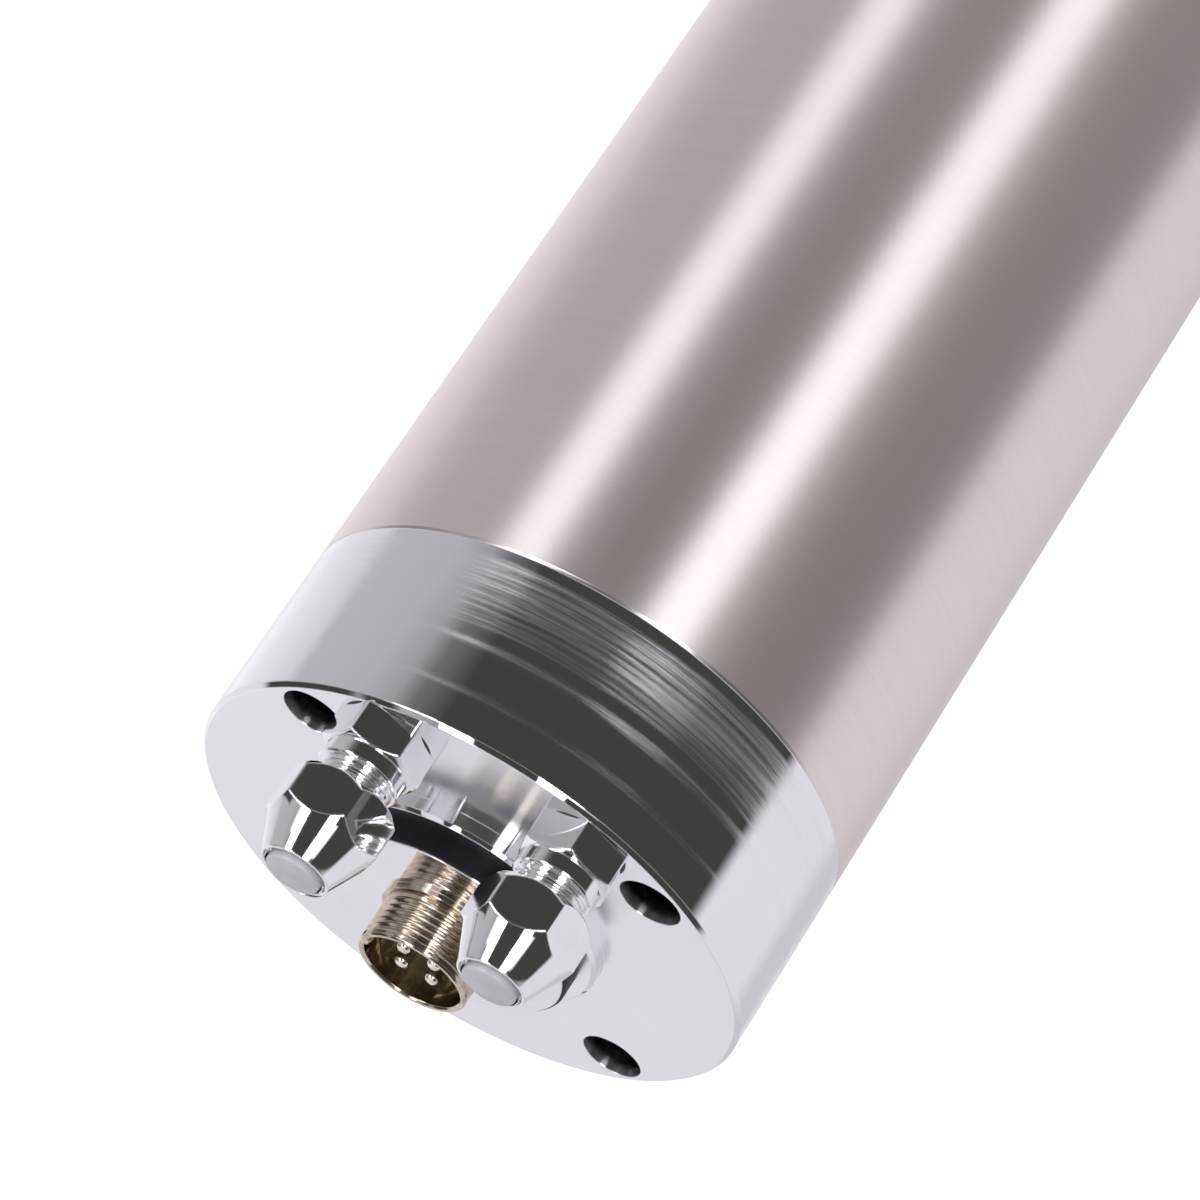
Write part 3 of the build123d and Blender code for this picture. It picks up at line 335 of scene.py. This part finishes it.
def polish_cover(tree):
    """The cover's side is a mirror with cloudy bands left by the lathe. Its face is softer."""
    shader = tree.nodes["Principled BSDF"]
    height = node(tree, "ShaderNodeSeparateXYZ", Vector=stretched(tree, (1, 1, 1 / MM))).outputs[2]
    worn = noise(tree, *WANDER_GRAIN)
    wander = maths(tree, "MULTIPLY", maths(tree, "SUBTRACT", worn, 0.5), CLOUD_WANDER)
    level = maths(tree, "ADD", height, wander)
    cloud = 0.0
    for bottom, top, amount in CLOUD_BANDS:
        rising = ramp(tree, level, bottom - CLOUD_FADE, bottom + CLOUD_FADE)
        falling = ramp(tree, level, top - CLOUD_FADE, top + CLOUD_FADE, amount, 0.0)
        cloud = maths(tree, "MAXIMUM", maths(tree, "MULTIPLY", rising, falling), cloud)
    streaks = ramp(tree, noise(tree, *STREAK_GRAIN), *STREAK_RANGE)
    cloud = maths(tree, "MULTIPLY", cloud, streaks)
    side = maths(tree, "MULTIPLY_ADD", cloud, CLOUD_ROUGHNESS, SIDE_ROUGHNESS)

    flat_place = stretched(tree, (1 / MM, 1 / MM, 0))
    distance = node(
        tree, "ShaderNodeVectorMath", {"operation": "LENGTH"}, i0=flat_place,
    ).outputs["Value"]
    bored = maths(
        tree, "MULTIPLY", maths(tree, "GREATER_THAN", distance, BORED_WALLS[0]),
        maths(tree, "LESS_THAN", distance, BORED_WALLS[1]),
    )
    bored = maths(tree, "MULTIPLY", bored, ramp(tree, height, *BORED_HEIGHTS))
    side = maths(tree, "MULTIPLY_ADD", bored, BORED_ROUGHNESS, side)

    normal = node(tree, "ShaderNodeNewGeometry").outputs["Normal"]
    upward = node(tree, "ShaderNodeSeparateXYZ", Vector=normal).outputs[2]
    on_face = ramp(tree, upward, *FACE_SLOPES)
    face = ramp(tree, noise(tree, FACE_GRAIN), *COLOUR_DRIFT, *FACE_ROUGHNESS)
    rest = maths(tree, "MULTIPLY", side, maths(tree, "SUBTRACT", 1.0, on_face))
    polish = maths(tree, "MULTIPLY_ADD", face, on_face, rest)
    tree.links.new(polish, shader.inputs["Roughness"])


polish_cover(MATERIALS["cover_chrome"].node_tree)

slot_of = {part["node"]: part["material_slot"] for part in frame["record"]["subparts"]}
for name, piece in frame["nodes"].items():
    piece.data.materials.clear()
    piece.data.materials.append(MATERIALS[slot_of[name]])


# ---------------------------------------------------------------- mesh helpers

SHARP_ANGLE = radians(32)
MERGE_DISTANCE = 1e-7
ROWS_PER_TURN = 10
GROOVE_WIDTH = 1.35       # of a sharp thread's, with its root cut flat
CREST_FLAT = 0.12
ON_AXIS = [(0, 0)]


def lathe(name, rows, centres, segments=144, start=0.0):
    """Closed ring of rows about each centre.

    A row is a pair of radius and height, or a function that gives them for an angle.
    """
    mesh = bmesh.new()
    for centre in centres:
        rings = []
        for row in rows:
            ring = []
            for index in range(segments):
                angle = start + tau * index / segments
                radius, height = row(angle) if callable(row) else row
                ring.append(mesh.verts.new((
                    centre[0] + radius * cos(angle), centre[1] + radius * sin(angle), height,
                )))
            rings.append(ring)
        for first, second in zip(rings, rings[1:] + rings[:1]):
            for index in range(segments):
                after = (index + 1) % segments
                mesh.faces.new((first[index], first[after], second[after], second[index]))
    bmesh.ops.remove_doubles(mesh, verts=mesh.verts, dist=MERGE_DISTANCE)
    bmesh.ops.recalc_face_normals(mesh, faces=mesh.faces)
    data = bpy.data.meshes.new(name)
    mesh.to_mesh(data)
    mesh.free()
    for face in data.polygons:
        face.use_smooth = True
    data.set_sharp_from_angle(angle=SHARP_ANGLE)
    piece = bpy.data.objects.new(name, data)
    bpy.context.scene.collection.objects.link(piece)
    return piece


def thread(major, start, end, pitch, depth):
    """Rows of a right-hand thread, crests at the major radius, faded at both ends."""
    count = int(round((end - start) / pitch * ROWS_PER_TURN))

    def row_at(height):
        def row(angle):
            turn_part = ((height - start) / pitch - angle / tau) % 1.0
            groove = 1.0 - abs(2.0 * turn_part - 1.0)
            groove = min(max(GROOVE_WIDTH * groove - CREST_FLAT, 0.0), 1.0)
            fade = min((height - start) / pitch, (end - height) / pitch, 1.0)
            return major - depth * groove * max(fade, 0.0), height
        return row

    return [row_at(start + (end - start) * index / count) for index in range(count + 1)]


def dress(piece, body, slot_name, *nodes):
    """Give a piece its body and its finish, and hide the CAD nodes that it stands for."""
    piece.data.materials.append(MATERIALS[slot_name])
    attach(piece, body)
    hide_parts(*nodes)


# ---------------------------------------------------------------- coolant fittings

# Radii, and heights above the cover's face. stub is how far the thread goes into the cover.
FITTING = {
    "across_flats": 12.0 * MM, "corner": 0.5 * MM, "hex_height": 5.0 * MM,
    "neck_radius": 5.7 * MM, "neck_height": 2.4 * MM, "thread_radius": 5.0 * MM,
    "thread_end": 13.2 * MM, "bore": 2.5 * MM, "stub": 7.5 * MM, "pitch": 1.0 * MM,
    "thread_depth": 0.55 * MM, "socket": 4.06 * MM, "socket_depth": 3.6 * MM,
    "socket_cone": 0.6 * MM, "edge": 0.25 * MM,
}
HEX_TURN = {"inlet": radians(55.0), "outlet": radians(25.0)}
CHAMFER_SLOPE = tan(radians(30.0))
FITTING_SEGMENTS = 360


def hex_row(across_flats, corner, turn, height, slope=0.0):
    """Row on a hexagon with round corners. slope lowers its corners, as a chamfer does."""
    half = across_flats / 2
    round_from = atan((half - corner) * tan(pi / 6) / half)
    corner_centre = (half - corner) / cos(pi / 6)

    def row(angle):
        part = abs((angle - turn) % (pi / 3) - pi / 6)
        if part < round_from:
            radius = half / cos(part)
        else:
            off = pi / 6 - part
            rounding = sqrt(corner ** 2 - (corner_centre * sin(off)) ** 2)
            radius = corner_centre * cos(off) + rounding
        return radius, height - slope * (radius - half)
    return row


for name, turn in HEX_TURN.items():
    size = FITTING
    centre = middle(f"{name}_plug")
    hex_top = face_height + size["hex_height"]
    neck_top = hex_top + size["neck_height"]
    thread_top = face_height + size["thread_end"]
    flats = size["across_flats"]
    edge = size["edge"]
    rows = [
        (size["bore"], face_height - size["stub"]),
        (size["thread_radius"], face_height - size["stub"]),
        (size["thread_radius"], face_height),
        (flats / 2 - edge, face_height),
        hex_row(flats, size["corner"], turn, face_height),
        hex_row(flats, size["corner"], turn, hex_top, CHAMFER_SLOPE),
        (flats / 2, hex_top),
        (size["neck_radius"], hex_top),
        (size["neck_radius"], neck_top - edge),
        (size["neck_radius"] - edge, neck_top),
        (size["thread_radius"], neck_top),
        *thread(
            size["thread_radius"], neck_top + edge / 5, thread_top, size["pitch"],
            size["thread_depth"],
        ),
        (size["socket"] + size["socket_cone"], thread_top),
        (size["socket"], thread_top - size["socket_cone"]),
        (size["socket"], thread_top - size["socket_depth"]),
        (size["bore"], thread_top - size["socket_depth"]),
    ]
    piece = lathe(f"{name}_fitting_threaded", rows, [centre], FITTING_SEGMENTS, turn)
    dress(piece, "housing", "fitting_chrome", f"{name}_fitting")

# ---------------------------------------------------------------- hose nuts and plugs

# Heights above the cover's face. gap is the open ring round the plug at the nut's mouth.
NUT = {
    "across_flats": 14.0 * MM, "corner": 0.5 * MM, "start": 10.3 * MM, "hex_end": 17.0 * MM,
    "end": 22.2 * MM, "mouth": 4.9 * MM, "mouth_edge": 0.35 * MM, "inside": 5.15 * MM,
    "gap": 4.45 * MM, "gap_depth": 1.4 * MM, "bore": 4.06 * MM, "seat": 18.0 * MM,
}
NUT_TURN = {"inlet": radians(10.0), "outlet": radians(5.0)}
NUT_SLOPE = tan(radians(50.0))
PLUG_EDGE = 0.4 * MM
PLUG_RADIUS = 4.0 * MM
PLUG_FACE = 3.75 * MM
PLUG_CORE = 0.01 * MM     # closes the plug at its axis
ROUNDING = 0.3            # of an edge, where the middle of its rounding stands

for name, turn in NUT_TURN.items():
    size = NUT
    centre = middle(f"{name}_plug")
    start = face_height + size["start"]
    hex_end = face_height + size["hex_end"]
    end = face_height + size["end"]
    flats = size["across_flats"]
    rows = [
        (size["inside"], start),
        (flats / 2, start),
        hex_row(flats, size["corner"], turn, start, -NUT_SLOPE),
        hex_row(flats, size["corner"], turn, hex_end, NUT_SLOPE),
        (flats / 2, hex_end),
        (size["mouth"], end - size["mouth_edge"]),
        (size["mouth"] - size["mouth_edge"] / 4, end - size["mouth_edge"] / 4),
        (size["mouth"] - size["mouth_edge"], end),
        (size["gap"], end),
        (size["gap"], end - size["gap_depth"]),
        (size["bore"], end - size["gap_depth"]),
        (size["bore"], face_height + size["seat"] + size["inside"] - size["bore"]),
        (size["inside"], face_height + size["seat"]),
    ]
    piece = lathe(f"{name}_nut_turned", rows, [centre], FITTING_SEGMENTS, turn)
    dress(piece, f"{name}_nut_body", "fitting_chrome", f"{name}_nut")

    plug_low, plug_high = low(f"{name}_plug").z, high(f"{name}_plug").z
    step_height = end - size["gap_depth"]
    rows = [
        (PLUG_CORE, plug_low),
        (PLUG_RADIUS, plug_low),
        (PLUG_RADIUS, step_height - PLUG_EDGE),
        (PLUG_FACE, step_height),
        (PLUG_FACE, plug_high - PLUG_EDGE),
        (PLUG_FACE - PLUG_EDGE * ROUNDING, plug_high - PLUG_EDGE * ROUNDING),
        (PLUG_FACE - PLUG_EDGE, plug_high),
        (PLUG_CORE, plug_high),
    ]
    piece = lathe(f"{name}_plug_moulded", rows, [centre])
    dress(piece, f"{name}_hose_end", "plug_plastic", f"{name}_plug")

# ---------------------------------------------------------------- connector

shell_low, shell_high = low("connector_shell"), high("connector_shell")
plate_top = high("connector_plate").z
insert_top = high("connector_insert").z
SHELL = {
    "rear_radius": 7.5 * MM, "rear_bore": 6.65 * MM, "radius": 8.0 * MM, "bore": 7.1 * MM,
    "collar": 8.7 * MM, "collar_height": 0.8 * MM, "thread_lead": 0.3 * MM, "pitch": 1.0 * MM,
    "depth": 0.45 * MM, "edge": 0.25 * MM, "rim_land": 0.7 * MM, "step": 0.4 * MM,
}
SHELL_SEGMENTS = 288
KEY_ANGLE = radians(-15.0)
KEY_HALF_WIDTH = radians(6.5)
KEY_SIDE = radians(2.0)
KEY_RISE = 0.6 * MM


def key_row(radius, height):
    """Row of the shell's bore with its locating key."""
    def row(angle):
        off = abs((angle - KEY_ANGLE + pi) % tau - pi)
        rise = KEY_RISE * min(max((KEY_HALF_WIDTH - off) / KEY_SIDE + 0.5, 0.0), 1.0)
        return radius - rise, height
    return row


collar_top = plate_top + SHELL["collar_height"]
thread_start = collar_top + SHELL["thread_lead"]
thread_stop = shell_high.z - SHELL["rim_land"]
shell_rows = [
    (SHELL["rear_bore"], shell_low.z),
    (SHELL["rear_radius"], shell_low.z),
    (SHELL["rear_radius"], plate_top),
    (SHELL["collar"], plate_top),
    (SHELL["collar"], collar_top - SHELL["edge"] / 2),
    (SHELL["collar"] - SHELL["edge"] / 2, collar_top),
    (SHELL["radius"] - SHELL["depth"] / 2, collar_top),
    *thread(SHELL["radius"], thread_start, thread_stop, SHELL["pitch"], SHELL["depth"]),
    (SHELL["radius"], shell_high.z - SHELL["edge"]),
    (SHELL["radius"] - SHELL["edge"], shell_high.z),
    key_row(SHELL["bore"] + SHELL["edge"], shell_high.z),
    key_row(SHELL["bore"], shell_high.z - SHELL["edge"]),
    key_row(SHELL["bore"], insert_top + SHELL["step"]),
    (SHELL["rear_bore"], insert_top + SHELL["step"]),
]
piece = lathe("connector_shell_threaded", shell_rows, ON_AXIS, SHELL_SEGMENTS)
dress(piece, "housing", "connector_nickel", "connector_shell")

# Rubber ring under the connector, with the thin polished plate on it.
RING_BORE = 7.55 * MM
RING_RADIUS = 18.0 * MM
RING_EDGE = 0.3 * MM
PLATE_RADIUS = 17.6 * MM
PLATE_THICKNESS = 0.3 * MM
RING_SEGMENTS = 240
ring_low = low("connector_gasket").z
ring_top = plate_top - PLATE_THICKNESS
ring_rows = [
    (RING_BORE, ring_low),
    (RING_RADIUS, ring_low),
    (RING_RADIUS, ring_top - RING_EDGE),
    (RING_RADIUS - RING_EDGE * ROUNDING, ring_top - RING_EDGE * ROUNDING),
    (RING_RADIUS - RING_EDGE, ring_top),
    (RING_BORE, ring_top),
]
piece = lathe("connector_gasket_moulded", ring_rows, ON_AXIS, RING_SEGMENTS)
dress(piece, "housing", "gasket_rubber", "connector_gasket")
plate_rows = [
    (RING_BORE, ring_top),
    (PLATE_RADIUS, ring_top),
    (PLATE_RADIUS, plate_top - PLATE_THICKNESS / 3),
    (PLATE_RADIUS - PLATE_THICKNESS / 3, plate_top),
    (RING_BORE, plate_top),
]
piece = lathe("connector_plate_polished", plate_rows, ON_AXIS, RING_SEGMENTS)
dress(piece, "housing", "plate_mirror", "connector_plate")

# Four contact pins with domed ends.
PIN_RADIUS = 1.05 * MM
PIN_DOME = 0.75 * MM
PIN_SPACING = 4.5 * MM
PIN_CORE = 0.01 * MM      # closes the pin at its axis
DOME_STEPS = 8
PIN_SEGMENTS = 48
pin_low, pin_high = low("connector_pins").z, high("connector_pins").z
pin_rows = [(PIN_CORE, pin_low), (PIN_RADIUS, pin_low)]
for step in range(DOME_STEPS):
    part = pi / 2 * step / DOME_STEPS
    pin_rows.append((PIN_RADIUS * cos(part), pin_high - PIN_DOME * (1 - sin(part))))
pin_rows.append((PIN_CORE, pin_high))
pin_centres = [(x * PIN_SPACING / 2, y * PIN_SPACING / 2) for x in (-1, 1) for y in (-1, 1)]
piece = lathe("contact_pins_domed", pin_rows, pin_centres, PIN_SEGMENTS)
dress(piece, "housing", "pin_silver", "connector_pins")

# ---------------------------------------------------------------- floor

FLOOR_HALF_SIDE = 1.6
FLOOR_SQUARES = 16
FLOOR_COLOUR = (0.80, 0.80, 0.81, 1.0)
FLOOR_GLOW = (0.45, 0.45, 0.45, 1.0)
floor_mesh = bmesh.new()
bmesh.ops.create_grid(
    floor_mesh, x_segments=FLOOR_SQUARES, y_segments=FLOOR_SQUARES, size=FLOOR_HALF_SIDE,
)
floor_data = bpy.data.meshes.new("floor")
floor_mesh.to_mesh(floor_data)
floor_mesh.free()
floor = bpy.data.objects.new("floor", floor_data)
floor.location.z = floor_height
bpy.context.scene.collection.objects.link(floor)

floor_material = bpy.data.materials.new("floor")
floor_material.use_nodes = True
tree = floor_material.node_tree
tree.nodes.clear()
lit = node(tree, "ShaderNodeBsdfDiffuse", Color=FLOOR_COLOUR)
glow = node(tree, "ShaderNodeEmission", Color=FLOOR_GLOW, Strength=1.0)
seen_directly = node(tree, "ShaderNodeAddShader", i0=lit.outputs[0], i1=glow.outputs[0])
unseen = node(tree, "ShaderNodeBsdfTransparent")
rays = node(tree, "ShaderNodeLightPath")
glossy_or_not = node(
    tree, "ShaderNodeMixShader", i0=rays.outputs["Is Glossy Ray"],
    i1=seen_directly.outputs[0], i2=unseen.outputs[0],
)
node(tree, "ShaderNodeOutputMaterial", Surface=glossy_or_not.outputs[0])
floor_data.materials.append(floor_material)

# ---------------------------------------------------------------- world

# The studio as polished metal sees it, by bearing in degrees from +X: pale walls, an
# opening to a dark room on the near side, and two tall strip lights in that opening.
# Each table of stops runs from FIRST_BEARING all the way round.
FIRST_BEARING = 70.0
WALLS = (
    (70, 0.86), (80, 0.80), (98, 0.72), (106, 0.62), (122, 0.62), (134, 0.79), (180, 0.80),
    (316, 0.46), (370, 0.51), (376, 0.68), (386, 0.77), (400, 0.84), (416, 0.98), (430, 0.86),
)
OPENING = ((70, 0), (176, 0), (182, 1), (302, 1), (316, 0.72), (324, 0.25), (338, 0), (430, 0))
SILL = (
    (70, 0), (184, 0.95), (192, 0.6), (200, 0.25), (214, 0.15), (224, 0.2), (232, 1), (241, 1),
    (250, 0.4), (258, 0.1), (266, 0), (284, 0), (292, 0.12), (300, 0.4), (308, 0.85), (316, 1),
    (430, 0),
)
# Heights in degrees above the level at which each part of the room starts and is complete.
TABLE_HEIGHTS = (-46, -40)
SILL_FOOT = (-21.5, -19)
SILL_HEAD = (2, 8)
FAR_WALL_FOOT = (-6, -2)
FAR_WALL_HEAD = (11, 15)
CEILING_HEIGHTS = (68, 76)
# Bearing, half width and brightness of each strip, and how far its side panel reaches.
STRIPS = ((251.0, 9.5, 4.9, -18.0), (311.0, 8.5, 4.7, 16.0))
STRIP_HEIGHTS = (0, 68)
STRIP_TINT = (0.97, 1.0, 1.05)
PANEL_HEIGHTS = (20, 40)
PANEL_BRIGHTNESS = 1.15
STRIP_EDGE = 0.8          # degrees of bearing
STRIP_FADE = 0.03         # these two are parts of a direction's rise
PANEL_FADE = 0.02
# First and last bearing, foot and head of dark places high on the walls.
HIGH_SHADES = (
    (158.0, 226.0, 39.0, 64.0), (338.0, 352.0, 38.0, 56.0), (352.0, 388.0, 22.0, 44.0),
)
SHADE_EDGE = 3.0
PALE = (1.0, 0.975, 1.04)
ROOM = (0.056, 0.055, 0.051)
SILL_COLOUR = (0.6, 0.59, 0.6)
FAR_WALL = (0.42, 0.40, 0.40)
TABLE = (0.80, 0.78, 0.80)
CEILING = (0.85, 0.84, 0.88)
SOFT_SKY = (0.72, 0.72, 0.74, 1.0)      # for surfaces that scatter light
BACKDROP = (1.0, 1.0, 1.0, 1.0)         # for the camera


def part_of_turn(degrees):
    """A bearing as a part of the turn that starts at FIRST_BEARING."""
    return (degrees - FIRST_BEARING) / 360


def by_bearing(tree, bearing, stops):
    """A value that runs through the stops, each a bearing in degrees and a level."""
    row = node(tree, "ShaderNodeValToRGB", i0=bearing)
    points = row.color_ramp.elements
    while len(points) < len(stops):
        points.new(0.5)
    for point, (degrees, level) in zip(points, stops):
        point.position = part_of_turn(degrees)
        point.color = (level, level, level, 1)
    return row.outputs[0]


def at_height(degrees):
    """Rise of a direction that stands so many degrees above the level."""
    return sin(radians(degrees))


def above(tree, rise, heights):
    """0 below both heights and 1 above them."""
    return ramp(tree, rise, at_height(heights[0]), at_height(heights[1]))


def between(tree, rise, foot, head):
    """1 from the foot's upper height to the head's lower one, fading outside them."""
    over = ramp(tree, rise, at_height(head[0]), at_height(head[1]), 1, 0)
    return maths(tree, "MULTIPLY", above(tree, rise, foot), over)


def window(tree, value, start, end, edge):
    """1 between start and end, fading over the edge at both."""
    return maths(
        tree, "MULTIPLY", ramp(tree, value, start - edge, start + edge),
        ramp(tree, value, end - edge, end + edge, 1, 0),
    )


world = bpy.data.worlds.new("studio")
bpy.context.scene.world = world
world.use_nodes = True
tree = world.node_tree
tree.nodes.clear()
direction = node(tree, "ShaderNodeTexCoord").outputs["Generated"]
x, y, rise = node(tree, "ShaderNodeSeparateXYZ", Vector=direction).outputs
turns = maths(tree, "DIVIDE", maths(tree, "ARCTAN2", y, x), tau)
bearing = maths(tree, "FRACT", maths(tree, "SUBTRACT", turns, FIRST_BEARING / 360))

walls = node(
    tree, "ShaderNodeVectorMath", {"operation": "MULTIPLY"},
    i0=by_bearing(tree, bearing, WALLS), i1=PALE,
).outputs[0]
sill = node(
    tree, "ShaderNodeVectorMath", {"operation": "MULTIPLY_ADD"},
    i0=by_bearing(tree, bearing, SILL), i1=SILL_COLOUR, i2=ROOM,
).outputs[0]
inside = mix(tree, between(tree, rise, SILL_FOOT, SILL_HEAD), ROOM, sill)
inside = mix(tree, between(tree, rise, FAR_WALL_FOOT, FAR_WALL_HEAD), inside, FAR_WALL)
inside = mix(tree, above(tree, rise, TABLE_HEIGHTS), TABLE, inside)
metal_sees = mix(tree, by_bearing(tree, bearing, OPENING), walls, inside)
metal_sees = mix(tree, above(tree, rise, CEILING_HEIGHTS), metal_sees, CEILING)


def patch(bearings, edge, heights, fade):
    """1 inside a patch of the studio, between two bearings in turns and two heights."""
    foot, head = (at_height(degrees) for degrees in heights)
    beside = window(tree, bearing, *bearings, edge / 360)
    return maths(tree, "MULTIPLY", beside, window(tree, rise, foot, head, fade))


for first, last, *heights in HIGH_SHADES:
    bearings = (part_of_turn(first), part_of_turn(last))
    shade = patch(bearings, SHADE_EDGE, heights, STRIP_FADE)
    metal_sees = mix(tree, shade, metal_sees, ROOM)

for centre, half_width, brightness, panel_reach in STRIPS:
    place = part_of_turn(centre)
    width = half_width / 360
    far = place + panel_reach / 360
    bearings = (min(place, far), max(place, far))
    panel = patch(bearings, STRIP_EDGE, PANEL_HEIGHTS, PANEL_FADE)
    metal_sees = mix(tree, panel, metal_sees, (PANEL_BRIGHTNESS,) * 3)
    bearings = (place - width, place + width)
    strip = patch(bearings, STRIP_EDGE, STRIP_HEIGHTS, STRIP_FADE)
    light = tuple(brightness * part for part in STRIP_TINT)
    metal_sees = mix(tree, strip, metal_sees, light)

rays = node(tree, "ShaderNodeLightPath")
soft = node(tree, "ShaderNodeBackground", Color=SOFT_SKY, Strength=1.0)
metal = node(tree, "ShaderNodeBackground", Color=metal_sees, Strength=1.0)
white = node(tree, "ShaderNodeBackground", Color=BACKDROP, Strength=1.0)
unseen_room = node(
    tree, "ShaderNodeMixShader", i0=rays.outputs["Is Glossy Ray"],
    i1=soft.outputs[0], i2=metal.outputs[0],
)
room = node(
    tree, "ShaderNodeMixShader", i0=rays.outputs["Is Camera Ray"],
    i1=unseen_room.outputs[0], i2=white.outputs[0],
)
node(tree, "ShaderNodeOutputWorld", Surface=room.outputs[0])

# Soft boxes that light what scatters light, since polished metal sees the strips instead.
BOX_BEARINGS = {"near": radians(251), "side": radians(312)}
BOX_DISTANCE = 0.95
BOX_BASE, BOX_TOP = 0.10, 1.1
BOX_WIDTH = 0.35
BOX_BRIGHTNESS = 2.5

for name, box_bearing in BOX_BEARINGS.items():
    light = bpy.data.lights.new(f"soft_box_{name}", "AREA")
    light.shape = "RECTANGLE"
    light.size = BOX_WIDTH
    light.size_y = BOX_TOP - BOX_BASE
    light.energy = BOX_BRIGHTNESS * pi * BOX_WIDTH * (BOX_TOP - BOX_BASE)
    lamp = bpy.data.objects.new(f"soft_box_{name}", light)
    lamp.visible_glossy = False
    east, north = cos(box_bearing), sin(box_bearing)
    place = Vector((BOX_DISTANCE * east, BOX_DISTANCE * north, (BOX_BASE + BOX_TOP) / 2))
    facing = Vector((-east, -north, 0)).to_track_quat("-Z", "Z").to_matrix().to_4x4()
    lamp.matrix_world = Matrix.Translation(place) @ facing
    bpy.context.scene.collection.objects.link(lamp)

# ---------------------------------------------------------------- finish

bpy.context.scene.view_settings.view_transform = "Standard"
